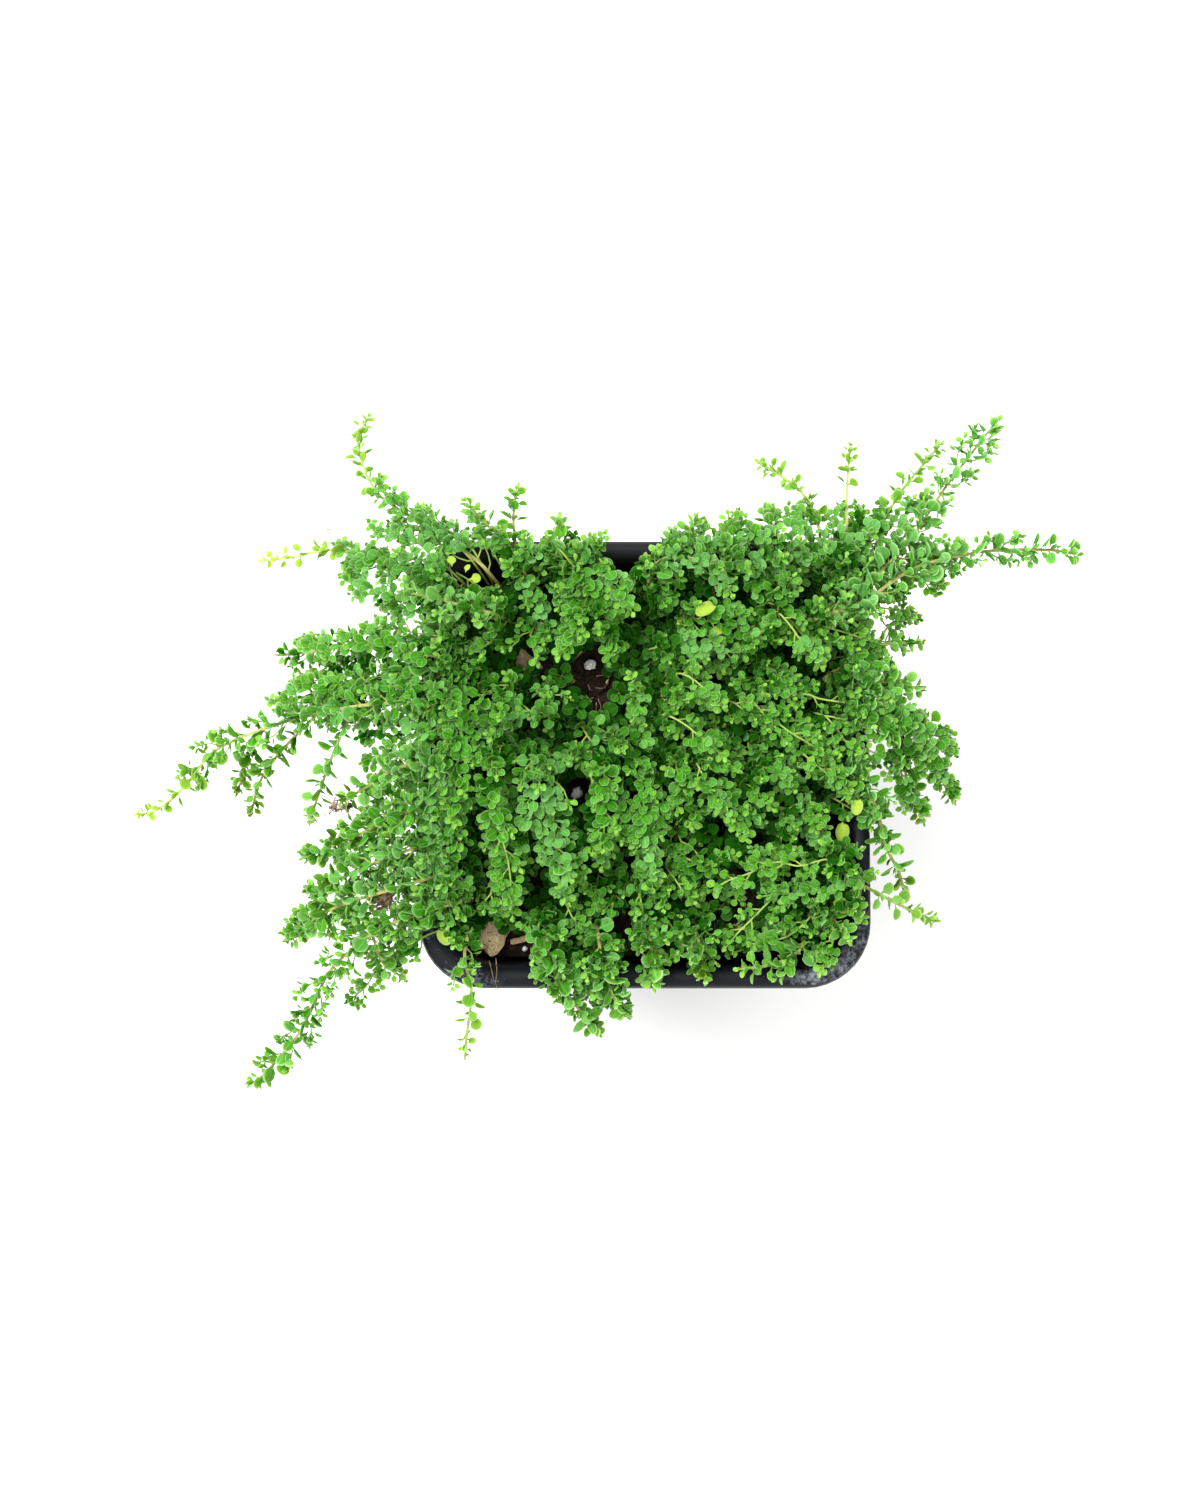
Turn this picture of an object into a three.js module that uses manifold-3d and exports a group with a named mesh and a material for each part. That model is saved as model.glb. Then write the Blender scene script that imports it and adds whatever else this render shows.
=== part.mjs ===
// Potted creeping thyme: a mat of leafy trailing stems, rooted in soil, in a square black nursery pot.
// Millimetres, +Z up. The origin lies under the middle of the pot, on the face that it stands on.
// +X points to the right and +Y to the back, as the plant is seen from above.
import * as THREE from "three";
import { mergeVertices } from "three/addons/utils/BufferGeometryUtils.js";
import Module from "manifold-3d";

const wasm = await Module();
wasm.setup();

// ---- Driving dimensions ----

const GAP = 0.3; // clearance between pieces that touch
const UP = new THREE.Vector3(0, 0, 1);
const mix = THREE.MathUtils.lerp;
const radians = THREE.MathUtils.degToRad;

const POT = {
  height: 88,
  baseHalf: 35, // half the width of the base, outside
  neckHalf: 45.6, // half the outer width that the wall would reach at the top
  rimHalf: 50,
  baseStraight: 26, // half the straight length of a side: the rest of its half width is the corner's radius
  rimStraight: 36,
  wall: 1.2,
  floor: 1.6,
  lipDepth: 7,
  lipTop: [[0, 1.8], [0.7, 0.5], [2, 0], [3.6, 0.6], [5, 2.8]], // in from the lip's edge, down from the top
  underLip: 1.9, // the wall turns out to the lip this far under the top
  flare: 7, // and its inside opens towards the lip from this far under the top
  foot: 1.2, // chamfer where the base meets the wall
  cornerSteps: 4,
  drainRadius: 4,
  drainReach: 21, // from the middle of the base to each drain hole, along X and Y
  drainSides: 10,
};

const SOIL = {
  level: 77,
  slope: 0.03, // the fill stands higher on the right
  bottom: 2.2,
  shoulder: 4, // the chamfer round its bottom ends this far up
  shrink: [1, 0.68, 0.34], // rings of the top surface, as shares of its width
};

const STEM = {
  rootRadius: 1.1,
  shootRadius: 0.9,
  tipRadius: 0.65,
  hole: 1.9, // half the diagonal of the square hole that a stem stands in
  holeOver: 6, // the cut for that hole ends this far over the soil
  corners: [1 / 4, 7 / 12, 11 / 12], // of a stem's section, as shares of a turn, the first on top
  steady: 0.3, // how much the way of the whole stem steadies its own axes
  ringStep: 8.5, // from one ring of corners to the next
  buried: 6,
  upright: 3, // a stem comes straight out of its hole, up to this height over the soil
  turnOut: 5, // and has turned along its route this far from the root
  settle: 1.5, // and is this far under its crest there
  droop: 1.6, // above 1, a stem falls away more towards its tip
};

const LEAF = {
  length: 8,
  width: 5.8,
  thickness: 1.2,
  pairStep: 9.6,
  tipGap: 2.4, // the last full pair stands this much nearer to the tip
  tipSize: 0.62,
  sunk: 0.4, // how far its foot reaches back into the stem
  roomMiddle: 0.55, // the middle and half the length of the room that it takes, as shares of its length
  roomReach: 0.47,
  near: 18, // leaves whose middles are further apart than this never meet
  lean: 58, // degrees between a leaf and the stem ahead of it
  tipLean: 38,
  rolls: [8, 42], // degrees that every other pair is turned up from level
  twist: 0.4, // 0 lays every leaf level, more keeps it square to its stem
  swings: [0, 18, -18, 36, -36, 55], // degrees that a leaf may give way
  shrinks: [1, 0.8, 0.64],
  clear: 0.48, // kept free round every leaf
  offPot: 0.9, // kept free over the soil and the lip
  bareBelow: 2.5, // no leaves under this height over the soil
};

// ---- Solids ----

// A closed three.js geometry as a manifold solid.
function solid(geometry) {
  const bare = geometry.clone();
  bare.deleteAttribute("normal");
  bare.deleteAttribute("uv");
  const merged = mergeVertices(bare, 1e-4);
  return new wasm.Manifold(
    new wasm.Mesh({
      numProp: 3,
      vertProperties: new Float32Array(merged.attributes.position.array),
      triVerts: new Uint32Array(merged.index.array),
    }),
  );
}

// A manifold solid as a three.js mesh.
function meshOf(name, body, material) {
  const made = body.getMesh();
  const position = new Float32Array(made.numVert * 3);
  for (let i = 0; i < made.numVert; i++)
    position.set(made.vertProperties.subarray(i * made.numProp, i * made.numProp + 3), i * 3);
  const geometry = new THREE.BufferGeometry();
  geometry.setAttribute("position", new THREE.BufferAttribute(position, 3));
  geometry.setIndex(new THREE.BufferAttribute(new Uint32Array(made.triVerts), 1));
  geometry.computeVertexNormals();
  const mesh = new THREE.Mesh(geometry, material);
  mesh.name = name;
  return mesh;
}

function geometryOf(points, faces) {
  const geometry = new THREE.BufferGeometry();
  const numbers = points.flatMap((p) => [p.x, p.y, p.z]);
  geometry.setAttribute("position", new THREE.Float32BufferAttribute(numbers, 3));
  geometry.setIndex(faces);
  return geometry;
}

// A closed skin over rings of equally many points, each counter-clockwise about the way that the rings go.
function loft(rings) {
  const sides = rings[0].length;
  const points = rings.flat();
  const faces = [];
  for (let i = 0; i + 1 < rings.length; i++)
    for (let j = 0; j < sides; j++) {
      const a = i * sides + j;
      const b = i * sides + ((j + 1) % sides);
      faces.push(a, b, b + sides, a, b + sides, a + sides);
    }
  const middle = (ring) => ring.reduce((sum, p) => sum.add(p), new THREE.Vector3()).divideScalar(sides);
  const first = points.push(middle(rings[0])) - 1;
  const last = points.push(middle(rings.at(-1))) - 1;
  const lastRing = (rings.length - 1) * sides;
  for (let j = 0; j < sides; j++) {
    const k = (j + 1) % sides;
    faces.push(first, k, j, last, lastRing + j, lastRing + k);
  }
  return geometryOf(points, faces);
}

// ---- The pot ----

const outerHalf = (z) => mix(POT.baseHalf, POT.neckHalf, z / POT.height);
const innerHalf = (z) => outerHalf(z) - POT.wall;
const straightHalf = (z) => mix(POT.baseStraight, POT.rimStraight, z / POT.height);

// A square of that half width with round corners, at height z.
function roundedSquare(half, z) {
  const straight = straightHalf(z);
  const points = [];
  for (let corner = 0; corner < 4; corner++)
    for (let step = 0; step <= POT.cornerSteps; step++) {
      const turn = ((corner + step / POT.cornerSteps) * Math.PI) / 2;
      const middle = ((corner + 0.5) * Math.PI) / 2;
      points.push(
        new THREE.Vector3(
          straight * Math.sign(Math.cos(middle)) + (half - straight) * Math.cos(turn),
          straight * Math.sign(Math.sin(middle)) + (half - straight) * Math.sin(turn),
          z,
        ),
      );
    }
  return points;
}

// The wall, with a rolled lip that turns down outside, and drain holes in the floor and at the corners.
function potSolid() {
  const { height, rimHalf, wall, floor, foot } = POT;
  const underLip = height - POT.underLip;
  const skirtEnd = height - POT.lipDepth;
  const innerFlare = height - POT.flare;
  const profile = [
    [outerHalf(0) - foot, 0],
    [outerHalf(foot), foot],
    [outerHalf(underLip), underLip],
    [rimHalf - wall, underLip],
    [rimHalf - wall, skirtEnd],
    [rimHalf, skirtEnd],
    ...POT.lipTop.map(([inwards, down]) => [rimHalf - inwards, height - down]),
    [innerHalf(innerFlare), innerFlare],
    [innerHalf(floor + foot), floor + foot],
    [innerHalf(floor) - foot, floor],
  ];
  let body = solid(loft(profile.map(([half, z]) => roundedSquare(half, z))));
  const drain = new THREE.CylinderGeometry(POT.drainRadius, POT.drainRadius, 4 * floor, POT.drainSides);
  drain.rotateX(Math.PI / 2);
  for (const x of [-1, 1])
    for (const y of [-1, 1])
      body = body.subtract(solid(drain.clone().translate(x * POT.drainReach, y * POT.drainReach, floor / 2)));
  return body;
}

// ---- The soil ----

function soilHeight(x, y) {
  const lumps = 0.9 * Math.sin(0.31 * x + 1.3) * Math.cos(0.27 * y) + 0.5 * Math.sin(0.83 * x + 0.61 * y);
  return SOIL.level + SOIL.slope * x + lumps;
}

function soilSolid(cuts) {
  const edge = innerHalf(SOIL.level) - GAP;
  const top = SOIL.shrink.map((share) =>
    roundedSquare(edge, SOIL.level).map((p) => {
      p.set(p.x * share, p.y * share, 0);
      return p.setZ(soilHeight(p.x, p.y));
    }),
  );
  // The edge keeps off the sloping wall at whatever height the surface meets it.
  for (const p of top[0]) {
    const inward = Math.min(1, (innerHalf(p.z) - GAP) / edge);
    p.set(p.x * inward, p.y * inward, p.z);
  }
  const bottom = roundedSquare(innerHalf(SOIL.bottom) - POT.foot - GAP, SOIL.bottom);
  const shoulderAt = SOIL.bottom + SOIL.shoulder;
  const shoulder = roundedSquare(innerHalf(shoulderAt) - GAP, shoulderAt);
  return solid(loft([bottom, shoulder, ...top])).subtract(wasm.Manifold.union(cuts));
}

// The plain hole that a stem stands in.
function stemHole(root) {
  const depth = STEM.buried + GAP + STEM.holeOver;
  const hole = new THREE.CylinderGeometry(STEM.hole, STEM.hole, depth, 4).rotateX(Math.PI / 2);
  return solid(hole.translate(root.x, root.y, root.z - GAP + depth / 2));
}

// ---- Grit and bark on the soil ----

// size is the length along each axis before the turn about Z in degrees, and sunk its depth in the soil.
const PERLITE = [
  { name: "perlite_grain_middle", x: -12.4, y: 23.3, size: [4.2, 3.4, 3], turn: 20, sunk: 0.8 },
  { name: "perlite_grain_front", x: -15.3, y: -6, size: [3.8, 3, 2.8], turn: 65, sunk: 0.6 },
];
const BARK = [
  { name: "bark_chip_front_left", x: -33.8, y: -37, size: [11, 6.5, 4.5], turn: 62, sunk: 1 },
  { name: "bark_chip_left", x: -27, y: 24, size: [8.5, 4.5, 3.4], turn: -35, sunk: 0.8 },
];

function crumbSolid({ x, y, size: [length, width, height], turn, sunk }, grow) {
  const crumb = new THREE.DodecahedronGeometry(0.5, 0).scale(length + grow, width + grow, height + grow);
  return solid(crumb.rotateZ(radians(turn)).translate(x, y, soilHeight(x, y) + height / 2 - sunk));
}

// ---- The thyme ----

// Each spray is one rooted stem with its side shoots. A route is a stem seen from above, from root to tip.
// crest is the height at which it leaves the mat, tip the height of its end, leaf the size of its leaves.
// A shoot's first point is on the stem that bears it.
const SPRAYS = {
  // over the left side
  left_upper: {
    crest: 92, tip: 74, leaf: 1,
    route: [[-36, 27], [-50, 27.5], [-61, 26.7], [-72, 26], [-83, 26]],
    shoots: [{ tip: 73, route: [[-61, 26.7], [-70, 22], [-80, 20.4]] }],
  },
  left_middle: { crest: 93, tip: 78, leaf: 1, route: [[-36, 20.5], [-54, 19.3], [-68, 16.5], [-83, 14.5]] },
  left_long: {
    crest: 94, tip: 73, leaf: 1,
    route: [
      [-38, 11.5], [-56, 12.5], [-72, 10.5], [-85, 7],
      [-96, 2.5], [-103, -4.9], [-109.6, -9.6], [-115.3, -10.4],
    ],
    shoots: [
      { tip: 76, route: [[-85, 7], [-89, 1], [-92, -5]] },
      { tip: 76, route: [[-72, 10.5], [-80.5, 3], [-86, -3], [-88.9, -9.6]] },
      { tip: 79, route: [[-64, 11.5], [-69.5, 1], [-72.7, -6.2], [-75.3, -12]] },
    ],
  },
  left_short: { crest: 94, tip: 86, leaf: 1.1, route: [[-37, 1.5], [-54, -1.8], [-61, -5.5], [-67, -8.4]] },
  left_low: { crest: 93, tip: 80, leaf: 1.1, route: [[-37, -7], [-54, -12], [-64, -16.5], [-76, -20.4]] },
  left_low_second: {
    crest: 93, tip: 78, leaf: 1.05, route: [[-37, -15.5], [-55, -21], [-65.6, -25.1], [-75.3, -28.2]],
  },
  left_low_third: { crest: 93, tip: 76, leaf: 1.05, route: [[-37, -23], [-57, -29], [-70, -33], [-80, -39]] },
  front_left_long: {
    crest: 93, tip: 76, leaf: 1,
    route: [
      [-36, -30], [-50, -34], [-60, -38.5], [-69, -46],
      [-73, -53.5], [-77, -60.5], [-83.8, -68], [-87.8, -71.1],
    ],
    shoots: [{ tip: 82, route: [[-60, -38.5], [-58, -44.5], [-54, -47.5]] }],
  },
  // over the back left corner
  back_left_pale: {
    crest: 93, tip: 82, leaf: 0.8,
    route: [[-35, 33], [-46, 40.5], [-58, 44.5], [-70, 47.6], [-79, 46.6], [-86.7, 46.4]],
  },
  back_left_long: {
    crest: 94, tip: 91, leaf: 0.9,
    route: [
      [-31, 38.5], [-38, 45], [-46, 51], [-54.2, 55.6],
      [-59.8, 60], [-63.3, 67.1], [-63.8, 73.3], [-62, 77.3],
    ],
  },
  back_left_upright: {
    crest: 94, tip: 98, leaf: 0.9,
    route: [[-25, 37], [-28.5, 47], [-29.2, 54], [-28.4, 59.3]],
    shoots: [{ tip: 96, route: [[-28.5, 47], [-35, 52], [-39.5, 57]] }],
  },
  back_left_inner: { crest: 98, tip: 95, leaf: 1.1, route: [[-28, 31], [-38, 33], [-46, 35.5], [-53, 37]] },
  // over the back
  back_middle_left: { crest: 95, tip: 97, leaf: 1.15, route: [[-15, 33], [-17.5, 41], [-19, 48], [-19, 53]] },
  back_middle: { crest: 95, tip: 96, leaf: 1.1, route: [[-2, 36], [3, 43], [8, 48], [11, 53]] },
  back_right_inner: { crest: 95, tip: 95, leaf: 1.1, route: [[14, 35], [17, 42], [19, 48], [18.5, 54]] },
  back_right: { crest: 94, tip: 92, leaf: 1.1, route: [[24, 37], [27, 45], [28, 51], [27, 56]] },
  back_right_pale: {
    crest: 93, tip: 88, leaf: 0.75, route: [[31, 37], [39, 48], [36.5, 58], [31, 63.8], [26, 67.3]],
  },
  back_right_upright: {
    crest: 92, tip: 90, leaf: 0.75, route: [[36, 36.5], [44.4, 47], [45, 58], [45.4, 65], [46, 70.7]],
  },
  back_right_corner: {
    crest: 93, tip: 92, leaf: 0.85,
    route: [[38, 31], [50, 45.5], [53, 53], [57, 60], [61.6, 65.8], [65.8, 70.7]],
  },
  back_right_long: {
    crest: 96, tip: 95, leaf: 1,
    route: [[37, 25], [49, 38.5], [57, 46.5], [62, 53.5], [67, 61], [72, 67.5], [76.2, 72.9], [78.2, 75.3]],
  },
  // over the right side
  right_long: {
    crest: 98, tip: 91, leaf: 1,
    route: [[33, 29.5], [48, 34.5], [59.3, 42], [72, 45.5], [80.2, 46.6], [90, 46.9], [96.2, 46.4]],
  },
  right_small: {
    crest: 92, tip: 86, leaf: 0.9,
    route: [[39, 18.5], [51, 25.5], [61.6, 27.1]],
    shoots: [{ tip: 88, route: [[51, 25.5], [55, 31], [60.2, 32.6]] }],
  },
  right_branched: {
    crest: 93, tip: 78, leaf: 1.05,
    route: [[38, 10.5], [50.7, 9.4], [57.6, 4.2], [64.4, -0.7], [69.3, -7.3]],
    shoots: [
      { tip: 77, route: [[57.6, 4.2], [58.6, -4], [62.7, -11.8]] },
      { tip: 82, route: [[50.7, 9.4], [60, 10.4], [68.9, 6]] },
    ],
  },
  right_back: { crest: 93, tip: 88, leaf: 1.05, route: [[41, 14.5], [48, 17], [54.5, 17.5], [61, 16.5]] },
  right_low: {
    crest: 92, tip: 81, leaf: 1,
    route: [[38, 3], [48, -5], [51.5, -11.5], [53.1, -18.2], [56.4, -24], [57.6, -27.1]],
  },
  right_front_pale: { crest: 92, tip: 85, leaf: 0.75, route: [[37, -20], [47, -27], [56.5, -32], [64, -35]] },
  // over the front
  front_left_pale: {
    crest: 92, tip: 83, leaf: 0.8,
    route: [[-38.5, -34.5], [-39.5, -44], [-38, -51], [-39.3, -61.1], [-39.8, -64.9]],
  },
  front_left: {
    crest: 93, tip: 84, leaf: 1.1, route: [[-22, -33], [-21, -44], [-17.5, -51], [-13.5, -56], [-11, -59.6]],
  },
  front_middle: { crest: 92, tip: 87, leaf: 1.1, route: [[-11, -34], [-9.5, -44], [-7, -52], [-4.5, -55.5]] },
  front_middle_right: { crest: 91, tip: 91, leaf: 1.15, route: [[0, -33], [1.5, -42], [2, -49.6]] },
  front_right_inner: { crest: 92, tip: 92, leaf: 1.15, route: [[10, -33], [12, -41], [13, -48]] },
  front_right_along: { crest: 90, tip: 92, leaf: 1.05, route: [[37, -35], [34, -42], [28, -45], [21, -46]] },
  front_right_corner: { crest: 89, tip: 92, leaf: 1, route: [[37, -27], [41.5, -34.5], [44.5, -39.5]] },
  front_right_low: { crest: 87, tip: 89, leaf: 1.05, route: [[18, -35.5], [27, -38.5], [34, -36.5]] },
  // on the mat, around the bare middle
  mat_back_left: { crest: 92, tip: 92, leaf: 1.1, route: [[-22.5, 34.5], [-25.5, 28], [-24, 22]] },
  mat_back: { crest: 95, tip: 96, leaf: 1.15, route: [[-9, 39], [-16.5, 33], [-16.5, 25.5]] },
  mat_back_middle: { crest: 94, tip: 94, leaf: 1.1, route: [[-3.5, 31], [-7.8, 27.5], [-8, 22]] },
  mat_back_right: { crest: 93, tip: 94, leaf: 1.15, route: [[4, 33], [16, 30.5], [23, 29], [30, 27.1]] },
  mat_right_upper: { crest: 94, tip: 96, leaf: 1.1, route: [[21, 35], [29, 34.5], [34.5, 28], [39, 21.5]] },
  mat_right_inner: { crest: 88, tip: 88, leaf: 1.2, route: [[-1, 25], [8, 24], [19, 21.6]] },
  mat_right_middle: { crest: 92, tip: 93, leaf: 1.15, route: [[0, 18.5], [9, 16.5], [17, 12.3]] },
  mat_right_trail: { crest: 92, tip: 94, leaf: 1.15, route: [[18, 15.5], [29, 9], [38, 1.5], [45, -6.5]] },
  mat_right_edge: { crest: 91, tip: 90, leaf: 1.1, route: [[22, 20], [31, 16.5], [37, 15.5]] },
  mat_right_low: { crest: 87, tip: 87, leaf: 1.15, route: [[19, 8], [27.3, 2.4], [34, -7]] },
  mat_front_right_upper: { crest: 88, tip: 87, leaf: 1.15, route: [[-4, 13], [5, 10.5], [13, 6], [21, -2]] },
  mat_front_right: { crest: 92, tip: 91, leaf: 1.15, route: [[7, 2], [14, -4], [19.5, -10], [22.5, -17]] },
  mat_front_upper: { crest: 93, tip: 92, leaf: 1.15, route: [[-10, 8], [-3, 3], [0, -5]] },
  mat_front: { crest: 88, tip: 88, leaf: 1.25, route: [[-15, 10], [-10, 1], [-9.3, -11], [-9.6, -23]] },
  mat_front_low: { crest: 92, tip: 92, leaf: 1.2, route: [[-2.5, -9], [0, -18], [1.5, -28]] },
  mat_front_left: {
    crest: 89, tip: 89, leaf: 1.2,
    route: [[-26, 8.5], [-30.5, -1], [-31.5, -12], [-30.8, -23], [-29.3, -34]],
  },
  mat_front_left_low: {
    crest: 93, tip: 93, leaf: 1.2, route: [[-21.5, 4], [-20.5, -8], [-19.5, -20], [-17, -31]],
  },
  mat_right_front: {
    crest: 90, tip: 91, leaf: 1.15,
    route: [[26, -8], [34, -12], [40, -19]],
    shoots: [{ tip: 88, route: [[30, -10], [30, -18.5], [27.5, -28]] }],
  },
  mat_left: { crest: 94, tip: 95, leaf: 1.2, route: [[-32, 19], [-39.5, 9], [-41.5, -3], [-42, -14]] },
  mat_front_middle: {
    crest: 87, tip: 87, leaf: 1.2,
    route: [[6, -11], [9, -21], [11.5, -31]],
    shoots: [{ tip: 88, route: [[9, -21], [16, -24.5], [21, -31]] }],
  },
};

// A stem's line: straight out of the soil, up to the crest, then along its route as it sinks or rises.
function stemCurve(route, crest, tip) {
  const [root, next] = route.map(([x, y]) => new THREE.Vector3(x, y, 0));
  const ground = soilHeight(root.x, root.y);
  const points = [root.clone().setZ(ground - STEM.buried), root.clone().setZ(ground + STEM.upright)];
  const out = next.clone().sub(root).setLength(STEM.turnOut).add(root);
  points.push(out.setZ(crest - STEM.settle));
  route.slice(1).forEach(([x, y], i) => {
    const share = (i / Math.max(1, route.length - 2)) ** STEM.droop;
    points.push(new THREE.Vector3(x, y, mix(crest, tip, share)));
  });
  return new THREE.CatmullRomCurve3(points, false, "catmullrom");
}

// A side shoot leaves the point of its parent's line that its route starts at, and ends at its own tip.
function shootCurve(parent, route, tip) {
  const [x0, y0] = route[0];
  const away = (p) => Math.hypot(p.x - x0, p.y - y0);
  const start = parent.reduce((best, p) => (away(p) < away(best) ? p : best));
  const points = [start.clone()];
  route.slice(1).forEach(([x, y], i) => {
    const share = (i + 1) / (route.length - 1);
    points.push(new THREE.Vector3(x, y, mix(start.z + 1, tip, share)));
  });
  return new THREE.CatmullRomCurve3(points, false, "catmullrom");
}

// A stem's middle line: straight from each ring of corners to the next.
function stemAxis(curve) {
  const steps = Math.max(2, Math.round(curve.getLength() / STEM.ringStep));
  const points = curve.getSpacedPoints(steps);
  const axis = new THREE.CurvePath();
  for (let i = 0; i < steps; i++) axis.add(new THREE.LineCurve3(points[i], points[i + 1]));
  return axis;
}

// Points along a line, about a millimetre apart.
const dotsAlong = (line) => line.getSpacedPoints(Math.ceil(line.getLength()));

// The stems of one spray, the main one first.
function stemsOf({ route, crest, tip, shoots = [] }) {
  const main = stemAxis(stemCurve(route, crest, tip));
  const borne = shoots.map((shoot) => stemAxis(shootCurve(dotsAlong(main), shoot.route, shoot.tip)));
  return [main, ...borne].map((axis) => ({ axis, dots: dotsAlong(axis), heading: headingOf(axis) }));
}

// The way that a stem goes as a whole, seen from above.
function headingOf(axis) {
  return axis.getPoint(1).sub(axis.getPoint(0)).setZ(0).normalize();
}

// A stem's own axes at one point: ahead, to the left, and up from it.
function stemFrame(ahead, heading) {
  const flat = new THREE.Vector3(ahead.x, ahead.y, 0).addScaledVector(heading, STEM.steady);
  const left = UP.clone().cross(flat).normalize();
  left.addScaledVector(ahead, -left.dot(ahead)).normalize();
  return { ahead, left, over: ahead.clone().cross(left) };
}

// A thin stem with one ridge on top, thinner towards the tip.
function stemSolid({ axis, heading }, rootRadius) {
  const middles = [axis.curves[0].v1, ...axis.curves.map((part) => part.v2)];
  const last = middles.length - 1;
  const rings = middles.map((middle, i) => {
    const ahead = middles[Math.min(last, i + 1)].clone().sub(middles[Math.max(0, i - 1)]).normalize();
    const { left, over } = stemFrame(ahead, heading);
    const radius = mix(rootRadius, STEM.tipRadius, i / last);
    return STEM.corners.map((share) => {
      const turn = share * 2 * Math.PI;
      const sideways = left.clone().multiplyScalar(radius * Math.cos(turn));
      return middle.clone().add(sideways).addScaledVector(over, radius * Math.sin(turn));
    });
  });
  return solid(loft(rings));
}

// A small round-oval leaf along +X, thick in the middle and bent down at the tip. Its foot lies in the stem.
function leafBlade(size) {
  const length = LEAF.length * size;
  const side = (LEAF.width * size) / 2;
  const outline = [
    [-LEAF.sunk, 0, 0],
    [0.36 * length, -0.94 * side, 0.04 * length],
    [0.78 * length, -0.84 * side, 0],
    [length, 0, -0.06 * length],
    [0.78 * length, 0.84 * side, 0],
    [0.36 * length, 0.94 * side, 0.04 * length],
  ].map((p) => new THREE.Vector3(...p));
  const crown = new THREE.Vector3(0.45 * length, 0, LEAF.thickness);
  const top = [0, 1, 2, 3, 4, 5].flatMap((i) => [i, (i + 1) % 6, 6]);
  const underside = [0, 5, 1, 1, 5, 4, 1, 4, 2, 2, 4, 3];
  return geometryOf([...outline, crown], [...top, ...underside]);
}

// Where a leaf stands: its own axes, the place of its foot on the stem, and the room that it takes.
function leafPlace({ axis, heading }, distance, roll, size, lean) {
  const share = THREE.MathUtils.clamp(distance / axis.getLength(), 0, 1);
  const { ahead, left, over } = stemFrame(axis.getTangentAt(share), heading);
  const out = left.multiplyScalar(Math.cos(roll)).addScaledVector(over, Math.sin(roll));
  const along = out.clone().multiplyScalar(Math.sin(lean)).addScaledVector(ahead, Math.cos(lean));
  const face = ahead.clone().multiplyScalar(Math.sin(lean)).addScaledVector(out, -Math.cos(lean));
  face.multiplyScalar(LEAF.twist).addScaledVector(UP, 1);
  face.addScaledVector(along, -face.dot(along)).normalize();
  const across = face.clone().cross(along);
  const foot = axis.getPointAt(share);
  const place = {
    matrix: new THREE.Matrix4().makeBasis(along, across, face).setPosition(foot),
    size,
    along,
    across,
    face,
    middle: foot.clone().addScaledVector(along, LEAF.roomMiddle * LEAF.length * size),
    reach: LEAF.roomReach * LEAF.length * size,
    spread: (LEAF.width * size) / 2,
  };
  return { ...place, dots: leafDots(place) };
}

// Points all over a leaf, for telling whether it meets another.
function leafDots({ middle, along, across, reach, spread }) {
  const found = [];
  for (const a of [-0.9, -0.45, 0, 0.5, 1])
    for (const b of [-0.9, 0, 0.9])
      if (a * a + b * b < 1.3)
        found.push(middle.clone().addScaledVector(along, a * reach).addScaledVector(across, b * spread));
  return found;
}

// True where a point lies in the room that a leaf takes, grown by a margin.
function inLeaf(point, { middle, along, across, face, reach, spread }, margin) {
  const from = point.clone().sub(middle);
  const a = from.dot(along) / (reach + margin);
  const b = from.dot(across) / (spread + margin);
  const c = (from.dot(face) - LEAF.thickness / 2) / (LEAF.thickness / 2 + margin);
  return a * a + b * b + c * c < 1;
}

// True where a point is free of the soil and of the pot's wall and lip.
function freeOfPot(p) {
  const out = Math.max(0, Math.abs(p.x) - POT.rimStraight);
  const back = Math.max(0, Math.abs(p.y) - POT.rimStraight);
  const reach = Math.max(Math.abs(p.x), Math.abs(p.y), POT.rimStraight + Math.hypot(out, back));
  if (reach > POT.rimHalf + LEAF.offPot) return true;
  if (reach > innerHalf(SOIL.level) - 2 * LEAF.offPot) return p.z > POT.height + LEAF.offPot;
  return p.z > soilHeight(p.x, p.y) + LEAF.offPot;
}

function standsClear(place, leaves, otherStems) {
  if (!place.dots.every(freeOfPot)) return false;
  const near = leaves.filter((leaf) => leaf.middle.distanceTo(place.middle) < LEAF.near);
  if (near.some((leaf) => place.dots.some((p) => inLeaf(p, leaf, LEAF.clear)))) return false;
  if (near.some((leaf) => leaf.dots.some((p) => inLeaf(p, place, LEAF.clear)))) return false;
  return !otherStems.some((p) => inLeaf(p, place, STEM.rootRadius + LEAF.clear));
}

// One leaf of a pair. Where it would meet another leaf or a stem it is twisted or made smaller until it
// stands clear, and if nothing helps it is left out.
function growLeaf(stem, distance, roll, size, lean, leaves, otherStems) {
  for (const shrink of LEAF.shrinks)
    for (const swing of LEAF.swings) {
      const turned = Math.cos(roll) < 0 ? roll - radians(swing) : roll + radians(swing);
      const place = leafPlace(stem, distance, turned, size * shrink, lean);
      if (standsClear(place, leaves, otherStems)) return [place];
    }
  return [];
}

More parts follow.
